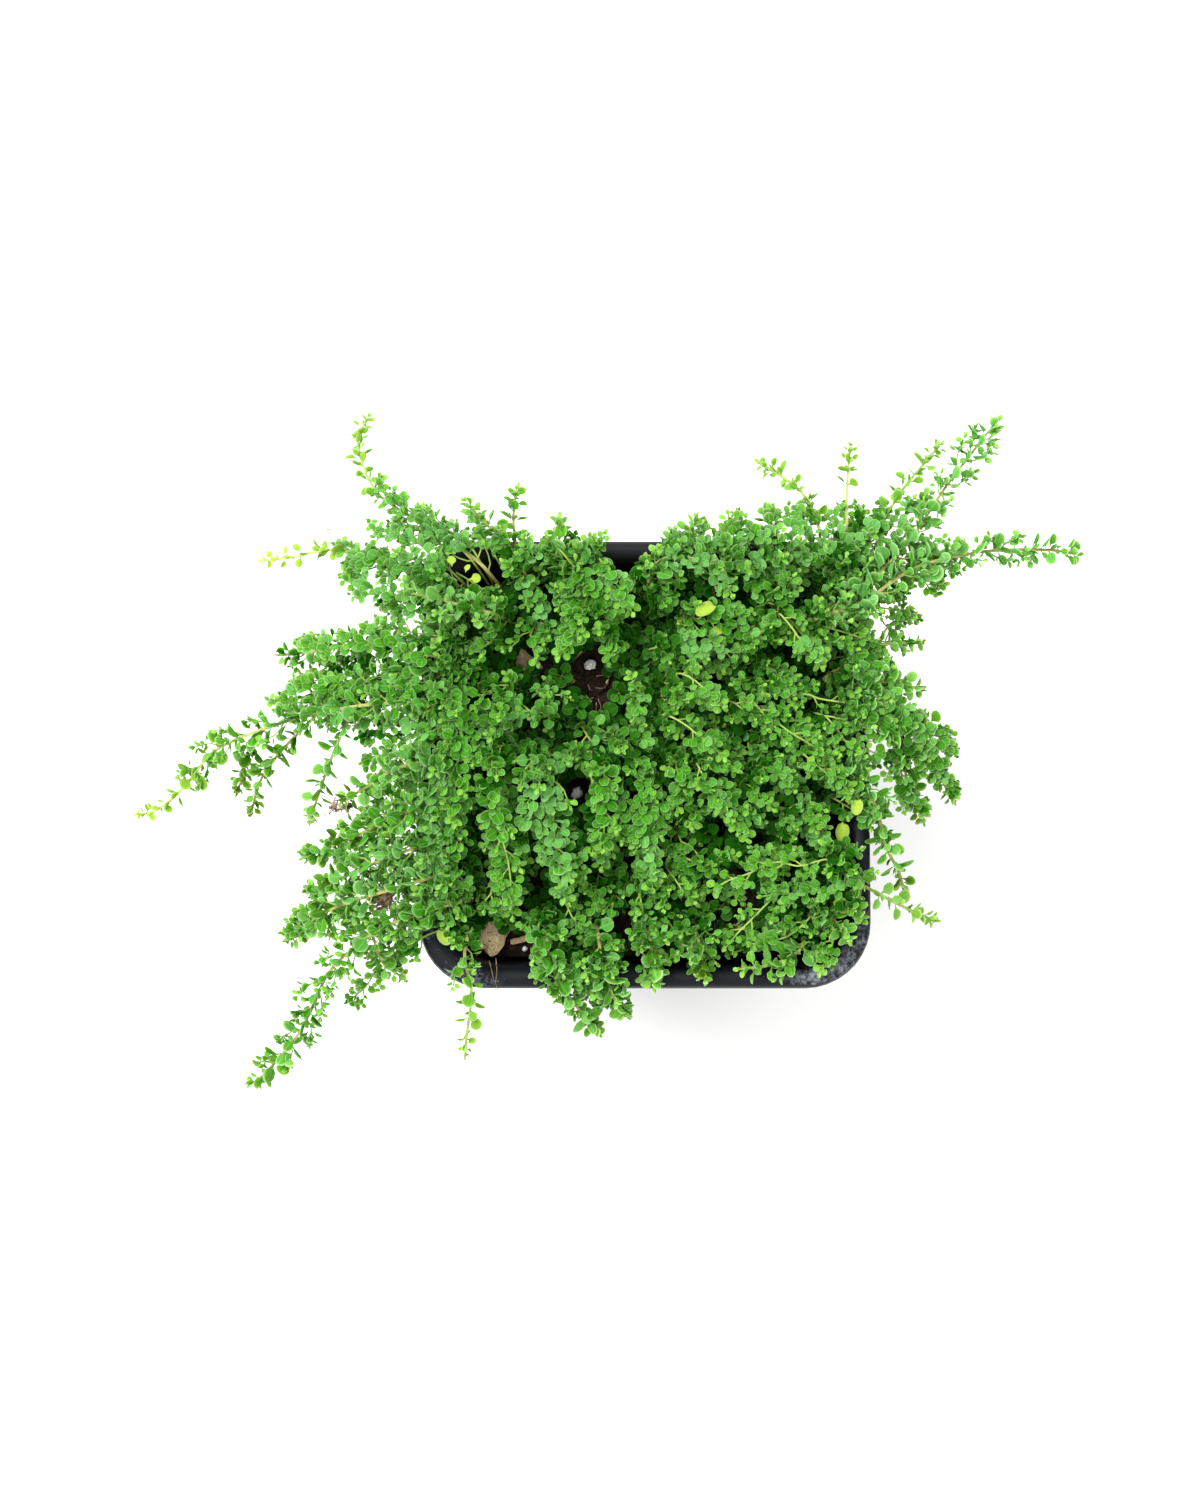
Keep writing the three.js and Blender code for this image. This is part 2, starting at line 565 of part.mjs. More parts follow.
// Leaves stand in opposite pairs, each pair turned from the last, with a small pair at the tip.
function growStem(stem, scale, leaves, otherStems) {
  const grown = [];
  const length = stem.axis.getLength();
  const step = LEAF.pairStep * scale;
  for (let pair = 0; pair * step < length; pair++) {
    const atTip = pair === 0;
    const distance = atTip ? length - 0.4 : length + LEAF.tipGap - pair * step;
    const foot = stem.axis.getPointAt(distance / length);
    if (foot.z < soilHeight(foot.x, foot.y) + LEAF.bareBelow) continue;
    const roll = radians(pair % 2 ? LEAF.rolls[1] : LEAF.rolls[0]);
    const size = scale * (atTip ? LEAF.tipSize : 1);
    const lean = radians(atTip ? LEAF.tipLean : LEAF.lean);
    for (const way of [roll, Math.PI - roll]) {
      const found = growLeaf(stem, distance, way, size, lean, [...leaves, ...grown], otherStems);
      grown.push(...found);
    }
  }
  return grown;
}

// ---- Materials ----

const matte = (color, roughness) => new THREE.MeshStandardMaterial({ color, roughness, metalness: 0 });
const MATERIALS = {
  pot: matte(0x14171b, 0.45),
  soil: matte(0x2b1d15, 0.95),
  perlite: matte(0xe9e6df, 0.9),
  bark: matte(0xb08a5e, 0.85),
  thyme: matte(0x4f8f3d, 0.6),
};

// ---- Assembly ----

const group = new THREE.Group();
const sprays = Object.entries(SPRAYS).map(([name, spray]) => ({ name, ...spray, stems: stemsOf(spray) }));
const leaves = [];

for (const { name, leaf, stems } of sprays) {
  const otherStems = sprays.filter((other) => other.name !== name).flatMap((other) => other.stems);
  const otherDots = otherStems.flatMap((stem) => stem.dots);
  const pieces = stems.map((stem, i) => stemSolid(stem, i ? STEM.shootRadius : STEM.rootRadius));
  for (const stem of stems) {
    const grown = growStem(stem, leaf, leaves, otherDots);
    leaves.push(...grown);
    pieces.push(...grown.map((place) => solid(leafBlade(place.size).applyMatrix4(place.matrix))));
  }
  group.add(meshOf("thyme_" + name, wasm.Manifold.union(pieces), MATERIALS.thyme));
}

const grit = [
  ...PERLITE.map((piece) => ({ ...piece, material: MATERIALS.perlite })),
  ...BARK.map((piece) => ({ ...piece, material: MATERIALS.bark })),
];
for (const piece of grit) group.add(meshOf(piece.name, crumbSolid(piece, 0), piece.material));

const holes = sprays.map(({ stems }) => stemHole(stems[0].axis.getPoint(0)));
const sockets = grit.map((piece) => crumbSolid(piece, 2 * GAP));
group.add(meshOf("soil", soilSolid([...holes, ...sockets]), MATERIALS.soil));
group.add(meshOf("pot", potSolid(), MATERIALS.pot));

export default group;
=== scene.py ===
import math

import bpy
import numpy as np
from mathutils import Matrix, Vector, noise


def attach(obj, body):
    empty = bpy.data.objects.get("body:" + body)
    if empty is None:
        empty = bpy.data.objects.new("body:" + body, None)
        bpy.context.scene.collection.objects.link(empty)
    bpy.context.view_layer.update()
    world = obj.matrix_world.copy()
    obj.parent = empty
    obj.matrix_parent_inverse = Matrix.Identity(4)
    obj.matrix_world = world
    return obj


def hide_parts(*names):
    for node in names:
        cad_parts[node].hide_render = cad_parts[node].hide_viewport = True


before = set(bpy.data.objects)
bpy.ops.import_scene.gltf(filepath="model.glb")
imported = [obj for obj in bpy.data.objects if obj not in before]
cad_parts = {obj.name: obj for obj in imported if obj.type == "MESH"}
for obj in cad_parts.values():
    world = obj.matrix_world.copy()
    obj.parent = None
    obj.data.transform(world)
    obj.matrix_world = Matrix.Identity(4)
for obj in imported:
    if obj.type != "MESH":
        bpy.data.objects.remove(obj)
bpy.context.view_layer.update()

# ---- The pot ----
# A square nursery pot, injection-moulded in black polypropylene. The thin wall is drawn out of the mould with
# its taper, round corners and a lip rolled outwards and down, which stiffens it. It drains through its floor.

# Every size is in mm, and MM turns it to metres.
MM = 0.001
POT_HEIGHT = 88
POT_FLOOR = 1.6
BASE_CORNER = 9.8
CORNER_STEPS = 9
# Half the pot's width and the height, from its foot up the outside, over the lip and down the inside
POT_PROFILE = [
    (33.8, 0), (34.6, 0.35), (35.1, 1.2), (45.2, 85.6), (45.6, 86), (48.4, 86.1), (48.75, 85.7), (48.8, 81.4),
    (49.1, 81), (49.8, 81), (50, 81.3), (50, 86.1), (49.7, 87.1), (49, 87.75), (48, 88), (46.8, 87.75),
    (45.9, 87), (45.1, 85.2), (44.6, 81), (34.2, 3), (33.7, 2), (32.6, POT_FLOOR),
]
DRAIN_RADIUS = 4
DRAIN_REACH = 21
DRILL_LENGTH = 6
POT_CREASE = 32
BLACK_PLASTIC = "101318"
SCUFF_AND_SHEEN_GREY = "a2a8b2"
DUST = "4a4038"


def linear(hex_colour):
    """An sRGB hex colour as the linear RGBA that a shader's socket holds."""
    shares = [int(hex_colour[i:i + 2], 16) / 255 for i in (0, 2, 4)]
    return [c / 12.92 if c <= 0.04045 else ((c + 0.055) / 1.055) ** 2.4 for c in shares] + [1]


def start_material(name, **settings):
    """A new material with its Principled shader, whose sockets take the settings."""
    material = bpy.data.materials.new(name)
    material.use_nodes = True
    shader = material.node_tree.nodes["Principled BSDF"]
    for socket, value in settings.items():
        shader.inputs[socket.replace("_", " ")].default_value = value
    return material, shader


def add_node(material, kind, links=(), inputs=(), **settings):
    """Adds one node. inputs sets its sockets, and links joins (its socket, a node, that node's output)."""
    node = material.node_tree.nodes.new(kind)
    for key, value in settings.items():
        setattr(node, key, value)
    for socket, value in inputs:
        node.inputs[socket].default_value = value
    for socket, other, output in links:
        material.node_tree.links.new(other.outputs[output], node.inputs[socket])
    return node


def link(material, node, output, other, socket):
    material.node_tree.links.new(node.outputs[output], other.inputs[socket])


def deselect():
    if bpy.context.object and bpy.context.object.mode != "OBJECT":
        bpy.ops.object.mode_set(mode="OBJECT")
    bpy.ops.object.select_all(action="DESELECT")


def rounded_tower(profile, corner, steps):
    """Starts as a flat square with round corners and grows by extruding its cap along the profile, in mm."""
    deselect()
    (half, height), *rest = profile
    bpy.ops.mesh.primitive_plane_add(size=2 * half * MM, location=(0, 0, height * MM))
    bpy.ops.object.transform_apply(location=True)
    bpy.ops.object.mode_set(mode="EDIT")
    bpy.ops.mesh.bevel(offset=corner * MM, segments=steps, affect="VERTICES")
    for next_half, next_height in rest:
        rise = (0, 0, (next_height - height) * MM)
        bpy.ops.mesh.extrude_region_move(TRANSFORM_OT_translate={"value": rise})
        scale = next_half / half
        bpy.ops.transform.resize(value=(scale, scale, 1), center_override=(0, 0, next_height * MM))
        half, height = next_half, next_height
    bpy.ops.mesh.select_all(action="SELECT")
    bpy.ops.mesh.normals_make_consistent(inside=False)
    bpy.ops.object.mode_set(mode="OBJECT")
    return bpy.context.object


def apply_modifier(piece, kind, **settings):
    bpy.context.view_layer.objects.active = piece
    modifier = piece.modifiers.new(kind.lower(), kind)
    for key, value in settings.items():
        setattr(modifier, key, value)
    bpy.ops.object.modifier_apply(modifier=modifier.name)


def finish_piece(piece, name, materials, replaced=()):
    """Names the piece, gives it its materials, and lets it stand for the CAD nodes that it replaces."""
    piece.name = name
    piece.data.name = name
    for material in materials:
        piece.data.materials.append(material)
    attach(piece, "root")
    if replaced:
        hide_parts(*replaced)


pot = rounded_tower(POT_PROFILE, BASE_CORNER, CORNER_STEPS)
deselect()
for x in (-DRAIN_REACH, DRAIN_REACH):
    for y in (-DRAIN_REACH, DRAIN_REACH):
        bpy.ops.mesh.primitive_cylinder_add(vertices=24, radius=DRAIN_RADIUS * MM, depth=DRILL_LENGTH * MM,
                                            location=(x * MM, y * MM, POT_FLOOR / 2 * MM))
        drill = bpy.context.object
        apply_modifier(pot, "BOOLEAN", object=drill, operation="DIFFERENCE", solver="EXACT")
        bpy.data.objects.remove(drill)
deselect()
pot.select_set(True)
bpy.context.view_layer.objects.active = pot
bpy.ops.object.shade_smooth_by_angle(angle=math.radians(POT_CREASE))

# Polypropylene as it comes out of the mould: nearly black, with a satin skin. Its grain is drawn coarser than
# it is, so that it shows. The lip is rubbed pale in specks, most of all at the front corners, where pots
# knock together, and the same grey is also a painted sheen on the lip, strongest at the front corners. A
# little dust from the soil lies on it in blotches.
GRAIN = 0.45
SCUFF = 1.1
BLOTCH = 14
LIP_FOOT = 84
# How far it is towards a front corner: the distances from the middle in x and y, multiplied
NEAR_CORNER = -900
AT_CORNER = -2000
polypropylene, shader = start_material("moulded_black_polypropylene", IOR=1.49, Roughness=0.48,
                                       Specular_IOR_Level=0.13)
place = add_node(polypropylene, "ShaderNodeTexCoord")
grain = add_node(polypropylene, "ShaderNodeTexNoise", [("Vector", place, "Object")],
                 [("Scale", 1 / (GRAIN * MM)), ("Detail", 3)])
scratches = add_node(polypropylene, "ShaderNodeTexNoise", [("Vector", place, "Object")],
                     [("Scale", 1 / (SCUFF * MM)), ("Detail", 8), ("Roughness", 0.75)])
blotches = add_node(polypropylene, "ShaderNodeTexNoise", [("Vector", place, "Object")],
                    [("Scale", 1 / (BLOTCH * MM)), ("Detail", 2)])
height_at = add_node(polypropylene, "ShaderNodeSeparateXYZ", [("Vector", place, "Object")])
on_lip = add_node(polypropylene, "ShaderNodeMapRange", [("Value", height_at, "Z")],
                  [("From Min", LIP_FOOT * MM), ("From Max", POT_HEIGHT * MM)])
rubbed = add_node(polypropylene, "ShaderNodeMath", [(0, scratches, "Fac"), (1, blotches, "Fac")],
                  operation="MULTIPLY")
rubbed_lip = add_node(polypropylene, "ShaderNodeMath", [(0, rubbed, "Value"), (1, on_lip, "Result")],
                      operation="MULTIPLY")
sideways = add_node(polypropylene, "ShaderNodeMath", [(0, height_at, "X")], operation="ABSOLUTE")
towards_corner = add_node(polypropylene, "ShaderNodeMath", [(0, sideways, "Value"), (1, height_at, "Y")],
                          operation="MULTIPLY")
# Painted sheen: towards the front corners the pale grey on the lip grows, partly real scuffs and partly a
# painted sheen
at_corner = add_node(polypropylene, "ShaderNodeMapRange", [("Value", towards_corner, "Value")],
                     [("From Min", NEAR_CORNER * MM * MM), ("From Max", AT_CORNER * MM * MM),
                      ("To Min", 0.5), ("To Max", 1.2)])
corner_wear_and_sheen = add_node(polypropylene, "ShaderNodeMath",
                         [(0, rubbed_lip, "Value"), (1, at_corner, "Result")], operation="MULTIPLY")
wear_and_sheen = add_node(polypropylene, "ShaderNodeMapRange", [("Value", corner_wear_and_sheen, "Value")],
                [("From Min", 0.22), ("From Max", 0.42), ("To Max", 0.8)])
dusty = add_node(polypropylene, "ShaderNodeMapRange", [("Value", blotches, "Fac")],
                 [("From Min", 0.48), ("From Max", 0.75), ("To Max", 0.1)])
with_dust = add_node(polypropylene, "ShaderNodeMix", [("Factor", dusty, "Result")],
                     [("A", linear(BLACK_PLASTIC)), ("B", linear(DUST))], data_type="RGBA")
# The pale grey is partly scuffs and partly a painted sheen
with_wear_and_sheen = add_node(polypropylene, "ShaderNodeMix", [("Factor", wear_and_sheen, "Result"), ("A", with_dust, "Result")],
                     [("B", linear(SCUFF_AND_SHEEN_GREY))], data_type="RGBA")
skin = add_node(polypropylene, "ShaderNodeBump", [("Height", grain, "Fac")],
                [("Strength", 0.35), ("Distance", 0.08 * MM)])
link(polypropylene, with_wear_and_sheen, "Result", shader, "Base Color")
link(polypropylene, skin, "Normal", shader, "Normal")
finish_piece(pot, "nursery_pot", [polypropylene], ["pot"])

# ---- The soil ----
# Potting soil of peat, composted bark and fine roots, filled in loose and settled by watering. Its surface is
# a crust of crumbs, a little higher on the right, with gaps where it has shrunk from the wall.

SOIL_LEVEL = 77
SOIL_SLOPE = 0.03
SOIL_PROFILE = [(32.2, 2.2), (33.6, 6), (42.9, 76), (42.9, SOIL_LEVEL)]
SOIL_CORNER = 8.6
SOIL_GRAIN = 1.15
SOIL_CRUST = 5
SOIL_LUMP = 2.6
SOIL_LUMP_HEIGHT = 1.1
CRUMBS = 1500
CRUMB_EDGE = 41.5
DARK_PEAT = "190f0a"
BROWN_PEAT = "2f2017"
DRY_CRUMB = "543d2b"
chance = np.random.default_rng(17)


def soil_height(x, y):
    """The height of the soil at a place, all in mm."""
    lumps = 0.9 * np.sin(0.31 * x + 1.3) * np.cos(0.27 * y) + 0.5 * np.sin(0.83 * x + 0.61 * y)
    return SOIL_LEVEL + SOIL_SLOPE * x + lumps


def points_of(piece):
    """A mesh's points in mm."""
    points = np.empty(3 * len(piece.data.vertices))
    piece.data.vertices.foreach_get("co", points)
    return points.reshape(-1, 3) / MM


def move_points(piece, points):
    piece.data.vertices.foreach_set("co", (points * MM).ravel())
    piece.data.update()


def faces_of(piece):
    return [list(face.vertices) for face in piece.data.polygons]


def new_mesh(name, points, faces):
    """A mesh object from points in mm."""
    mesh = bpy.data.meshes.new(name)
    mesh.from_pydata(points * MM, [], faces)
    mesh.polygons.foreach_set("use_smooth", [True] * len(mesh.polygons))
    made = bpy.data.objects.new(name, mesh)
    bpy.context.scene.collection.objects.link(made)
    return made


def rough(points, scale, strength):
    """How far each point is moved by a lumpy noise whose lumps are scale mm wide."""
    return np.array([noise.fractal(Vector(p / scale), 1.0, 2.0, 3) for p in points]) * strength


def turned(count):
    """Random turns, as one 3 by 3 matrix for each."""
    q = chance.normal(size=(count, 4))
    w, x, y, z = (q / np.linalg.norm(q, axis=1)[:, None]).T
    rows = [
        [1 - 2 * (y * y + z * z), 2 * (x * y - z * w), 2 * (x * z + y * w)],
        [2 * (x * y + z * w), 1 - 2 * (x * x + z * z), 2 * (y * z - x * w)],
        [2 * (x * z - y * w), 2 * (y * z + x * w), 1 - 2 * (x * x + y * y)],
    ]
    return np.moveaxis(np.array(rows), 2, 0)


def on_soil(count, edge):
    """Random places on the soil, as far out as edge mm from the middle."""
    x, y = chance.uniform(-edge, edge, (2, count))
    return np.stack([x, y, soil_height(x, y)], axis=1)


def stamped(shape, faces, places, turns, sizes):
    """The points and faces of many copies of a small shape."""
    copies = np.einsum("nij,nkj->nki", turns, shape[None] * sizes[:, None, :]) + places[:, None, :]
    all_faces = [[i + n * len(shape) for i in face] for n in range(len(places)) for face in faces]
    return copies.reshape(-1, 3), all_faces


def keep_shape(piece):
    """Takes a modelled shape's points in mm and its faces, and removes the object."""
    points, faces = points_of(piece), faces_of(piece)
    bpy.data.objects.remove(piece)
    return points, faces


fill = rounded_tower(SOIL_PROFILE, SOIL_CORNER, CORNER_STEPS)
apply_modifier(fill, "REMESH", mode="VOXEL", voxel_size=SOIL_GRAIN * MM)
points = points_of(fill)
at_top = np.clip((points[:, 2] - (SOIL_LEVEL - SOIL_CRUST)) / SOIL_CRUST, 0, 1)
points[:, 2] += at_top * (soil_height(points[:, 0], points[:, 1]) - SOIL_LEVEL)
points[:, 2] += at_top * (rough(points, SOIL_LUMP, SOIL_LUMP_HEIGHT) - 0.5)
move_points(fill, points)
fill.data.polygons.foreach_set("use_smooth", [True] * len(fill.data.polygons))
soil_points, soil_faces = keep_shape(fill)

deselect()
bpy.ops.mesh.primitive_ico_sphere_add(subdivisions=1, radius=0.5 * MM)
crumb_points, crumb_faces = keep_shape(bpy.context.object)
crumb_points = crumb_points * (1 + 0.25 * chance.normal(size=(len(crumb_points), 1)))
crumb_places = on_soil(CRUMBS, CRUMB_EDGE)
crumb_sizes = chance.gamma(3, 0.42, (CRUMBS, 1)).clip(0.4, 3.2) * chance.uniform(0.6, 1.2, (CRUMBS, 3))
crumbs, crumbs_faces = stamped(crumb_points, crumb_faces, crumb_places, turned(CRUMBS), crumb_sizes)
soil = new_mesh(
    "potting_soil",
    np.concatenate([soil_points, crumbs]),
    soil_faces + [[i + len(soil_points) for i in face] for face in crumbs_faces],
)

# Damp peat: almost black in its pores and a warm brown where the crumbs have dried. It is dull all over.
CRUMB_GRAIN = 1.4
FINE_GRAIN = 0.35
peat, shader = start_material("damp_peat", Roughness=0.95, IOR=1.4)
place = add_node(peat, "ShaderNodeTexCoord")
crumb_noise = add_node(peat, "ShaderNodeTexNoise", [("Vector", place, "Object")],
                       [("Scale", 1 / (CRUMB_GRAIN * MM)), ("Detail", 5), ("Roughness", 0.7)])
fine_noise = add_node(peat, "ShaderNodeTexNoise", [("Vector", place, "Object")],
                      [("Scale", 1 / (FINE_GRAIN * MM)), ("Detail", 4)])
peat_tones = add_node(peat, "ShaderNodeValToRGB", [("Fac", crumb_noise, "Fac")])
tones = peat_tones.color_ramp
tones.elements[0].position, tones.elements[0].color = 0.38, linear(DARK_PEAT)
tones.elements[1].position, tones.elements[1].color = 0.74, linear(DRY_CRUMB)
tones.elements.new(0.56).color = linear(BROWN_PEAT)
pores = add_node(peat, "ShaderNodeBump", [("Height", fine_noise, "Fac")],
                 [("Strength", 0.9), ("Distance", 0.3 * MM)])
link(peat, peat_tones, "Color", shader, "Base Color")
link(peat, pores, "Normal", shader, "Normal")
finish_piece(soil, "potting_soil", [peat], ["soil"])

# ---- Perlite and bark ----
# Perlite is volcanic glass, popped by heat into white, pitted grains. The bark is composted pine in flat,
# split chips. Both are mixed into the soil, and some lie loose on it.

# The place, the size along each axis, the turn in degrees and how deep it sits in the soil
PERLITE_GRAINS = {
    "perlite_grain_middle": (-12.4, 23.3, (2.8, 2.4, 2.5), 20, 0.1),
    "perlite_grain_front": (-15.3, -6, (3, 2.5, 2.4), 65, 0.1),
}
BARK_CHIPS = {
    "bark_chip_front_left": (-33.8, -37, (10.6, 6.2, 4), 62, 1),
    "bark_chip_left": (-27, 24, (8.2, 4.2, 3), -35, 0.8),
}
SMALL_PERLITE = [(17, 6.5), (-17.3, -39.6), (-3, -38.5), (-1.6, -28), (-20, 12), (-6, 13.5), (38, -33),
                 (41, -20), (-38, -38.5), (-27, -41), (-36, 40.5), (8, 41)]
# The place, the length and the turn in degrees
BARK_SLIVERS = [(-17, 19.3, 2.8, 25), (-13, 15.6, 2.8, -50), (-8.5, 20, 2.2, 80), (-15, 13.5, 2.2, 5),
                (-28, -39, 5, 15), (-37, -32, 4, 70), (39, -36, 4.5, -40), (42, -22, 4, 95)]
PERLITE_WHITE = "fffdf6"
PERLITE_PAINTED_PIT_SHADE = "ebe6db"
BARK_TAN = "f8e4b8"
BARK_BROWN = "cda872"


def set_on_soil(piece, x, y, size, turn, sunk):
    """Sizes, turns and seats a piece that was modelled 1 mm across, and leaves its place in its mesh."""
    piece.scale = size
    piece.rotation_euler = (0, 0, math.radians(turn))
    piece.location = Vector((x, y, soil_height(x, y) + size[2] / 2 - sunk)) * MM
    deselect()
    piece.select_set(True)
    bpy.context.view_layer.objects.active = piece
    bpy.ops.object.transform_apply(location=True, rotation=True, scale=True)


# Perlite is white glass foam: chalky, with grey painted in its pits as painted shade.
PIT = 0.6
perlite, shader = start_material("expanded_perlite", Roughness=0.85, IOR=1.5)
place = add_node(perlite, "ShaderNodeTexCoord")
pits = add_node(perlite, "ShaderNodeTexVoronoi", [("Vector", place, "Object")], [("Scale", 1 / (PIT * MM))])
# Painted shade: the bottoms of the pits are painted grey
chalk = add_node(perlite, "ShaderNodeValToRGB", [("Fac", pits, "Distance")])
chalk.color_ramp.elements[0].position, chalk.color_ramp.elements[0].color = 0.1, linear(PERLITE_PAINTED_PIT_SHADE)
chalk.color_ramp.elements[1].position, chalk.color_ramp.elements[1].color = 0.4, linear(PERLITE_WHITE)
pitted = add_node(perlite, "ShaderNodeBump", [("Height", pits, "Distance")],
                  [("Strength", 0.8), ("Distance", 0.2 * MM)])
link(perlite, chalk, "Color", shader, "Base Color")
link(perlite, pitted, "Normal", shader, "Normal")

for name, (x, y, size, turn, sunk) in PERLITE_GRAINS.items():
    deselect()
    bpy.ops.mesh.primitive_ico_sphere_add(subdivisions=4, radius=0.5 * MM)
    grain_piece = bpy.context.object
    points = points_of(grain_piece)
    move_points(grain_piece, points * (1 + rough(points + x, 0.3, 0.26) - 0.04)[:, None])
    set_on_soil(grain_piece, x, y, size, turn, sunk)
    bpy.ops.object.shade_smooth()
    finish_piece(grain_piece, "popped_" + name, [perlite], [name])

deselect()
bpy.ops.mesh.primitive_ico_sphere_add(subdivisions=2, radius=0.5 * MM)
bit_points, bit_faces = keep_shape(bpy.context.object)
bit_points = bit_points * (1 + rough(bit_points, 0.4, 0.3))[:, None]
bit_places = np.array([(x, y, soil_height(x, y) + 0.3) for x, y in SMALL_PERLITE])
count = len(bit_places)
bit_sizes = chance.uniform(0.7, 1.7, (count, 1)) * chance.uniform(0.7, 1.1, (count, 3))
bits = new_mesh("perlite_bits", *stamped(bit_points, bit_faces, bit_places, turned(count), bit_sizes))
finish_piece(bits, "perlite_bits", [perlite])

# Pine bark splits along its layers, so a chip has tan and brown bands and ragged edges, and no shine.
LAYER = 1.1
bark, shader = start_material("composted_pine_bark", Roughness=0.88, IOR=1.45)
place = add_node(bark, "ShaderNodeTexCoord")
layers = add_node(bark, "ShaderNodeTexNoise", [("Vector", place, "Object")],
                  [("Scale", 1 / (LAYER * MM)), ("Detail", 6), ("Roughness", 0.7), ("Distortion", 1.2)])
bands = add_node(bark, "ShaderNodeValToRGB", [("Fac", layers, "Fac")])
bands.color_ramp.elements[0].position, bands.color_ramp.elements[0].color = 0.4, linear(BARK_BROWN)
bands.color_ramp.elements[1].position, bands.color_ramp.elements[1].color = 0.62, linear(BARK_TAN)
split = add_node(bark, "ShaderNodeBump", [("Height", layers, "Fac")],
                 [("Strength", 0.8), ("Distance", 0.35 * MM)])
link(bark, bands, "Color", shader, "Base Color")
link(bark, split, "Normal", shader, "Normal")


def bark_shape(seed):
    """A flat chip, 1 mm along each axis, chamfered and then broken up by noise."""
    deselect()
    bpy.ops.mesh.primitive_cube_add(size=MM)
    chip = bpy.context.object
    bpy.ops.object.mode_set(mode="EDIT")
    bpy.ops.mesh.bevel(offset=0.16 * MM, segments=1)
    bpy.ops.mesh.subdivide(number_cuts=3)
    bpy.ops.object.mode_set(mode="OBJECT")
    points = points_of(chip)
    points[:, 0] *= 1 + rough(points + seed, 0.5, 0.3)
    points[:, 1] *= 1 + rough(points + 2 * seed, 0.35, 0.4)
    points[:, 2] *= 1 + rough(points[:, :2].repeat(2, 1)[:, :3] + seed, 0.4, 0.35)
    move_points(chip, points * 0.9)
    return chip


for number, (name, (x, y, size, turn, sunk)) in enumerate(BARK_CHIPS.items()):
    chip = bark_shape(3 + 5 * number)
    set_on_soil(chip, x, y, size, turn, sunk)
    bpy.ops.object.shade_smooth_by_angle(angle=math.radians(30))
    finish_piece(chip, "split_" + name, [bark], [name])

sliver_points, sliver_faces = keep_shape(bark_shape(11))
sliver_places = np.array([(x, y, soil_height(x, y) + 0.35) for x, y, _, _ in BARK_SLIVERS])
sliver_sizes = np.array([(length, 0.28 * length, 0.7) for _, _, length, _ in BARK_SLIVERS])
angles = np.radians([turn for *_, turn in BARK_SLIVERS])
level_turns = np.zeros((len(angles), 3, 3))
level_turns[:, 0, 0], level_turns[:, 0, 1] = np.cos(angles), -np.sin(angles)
level_turns[:, 1, 0], level_turns[:, 1, 1], level_turns[:, 2, 2] = np.sin(angles), np.cos(angles), 1
split_off = stamped(sliver_points, sliver_faces, sliver_places, level_turns, sliver_sizes)
slivers = new_mesh("bark_slivers", *split_off)
finish_piece(slivers, "bark_slivers", [bark])

# ---- Fine dead roots ----
# Threads of root, dried brown, which watering and growing shoots have left on the soil, on the pot's lip and
# among the leaves on the left, where two clots of them still hold some soil.

UP = np.array([0.0, 0.0, 1.0])
ROOT_RADIUS = 0.15
ROOT_TIP_RADIUS = 0.06
CLOT_TIP_RADIUS = 0.07
CURVE_STEPS = 24
DAMP_ROOT = "5f4836"
DRY_ROOT = "b0977a"
ROOTLETS = [
    [(-34.5, -44, 86), (-33.8, -46, 89.2), (-33.4, -48, 88.6), (-33, -50.5, 85)],
    [(-33, -43.5, 86), (-32.6, -46.5, 89.2), (-32.9, -49, 88.4), (-32.4, -50.6, 84.5)],
    [(-43, -41, 84), (-42, -44, 85.5), (-41.5, -46.2, 87.8)],
    [(-72, 51.5, 92), (-66, 51.5, 93.5), (-63, 49.5, 93), (-60, 47.5, 92)],
    [(-61.5, 34.5, 91), (-59, 34, 92.5), (-57.6, 31.5, 92.5), (-59.5, 29.5, 91.5)],
]
# The middle, how far it reaches along each axis, and how many threads and crumbs it has
ROOT_CLOTS = [((-68, -9.8, 84.5), (3.4, 1.3, 1.2), 26, 12), ((-57.5, -30, 87.5), (2, 3, 1.8), 40, 110),
              ((-12, 16, 78), (6, 5, 0.6), 14, 0), ((-38, -38, 79.5), (6, 4, 0.8), 14, 0)]


def smooth_line(corners, step):
    """A smooth line through the corners, as points about step mm apart."""
    corners = np.array(corners, float)
    before = 2 * corners[0] - corners[1]
    after = 2 * corners[-1] - corners[-2]
    knots = np.concatenate([[before], corners, [after]])
    pieces = []
    for p0, p1, p2, p3 in zip(knots, knots[1:], knots[2:], knots[3:]):
        t = np.linspace(0, 1, CURVE_STEPS, endpoint=False)[:, None]
        m1, m2 = (p2 - p0) / 2, (p3 - p1) / 2
        pieces.append((2 * t**3 - 3 * t**2 + 1) * p1 + (t**3 - 2 * t**2 + t) * m1
                      + (3 * t**2 - 2 * t**3) * p2 + (t**3 - t**2) * m2)
    return even_line(np.concatenate(pieces + [corners[-1:]]), step)


def even_line(line, step):
    """The same line, with its points evenly apart."""
    far = np.concatenate([[0], np.cumsum(np.linalg.norm(np.diff(line, axis=0), axis=1))])
    count = max(3, round(far[-1] / step) + 1)
    along = np.linspace(0, far[-1], count)
    return np.stack([np.interp(along, far, line[:, i]) for i in range(3)], axis=1)


def unit(v):
    return v / max(1e-9, np.linalg.norm(v))


def axes_at(line, i):
    """A stem's own axes at one point: ahead, to the left, and up from it."""
    ahead = unit(line[min(i + 1, len(line) - 1)] - line[max(i - 1, 0)])
    heading = unit((line[-1] - line[0]) * (1, 1, 0))
    left = unit(np.cross(UP, ahead * (1, 1, 0) + 0.3 * heading))
    left = unit(left - left.dot(ahead) * ahead)
    return ahead, left, np.cross(ahead, left)


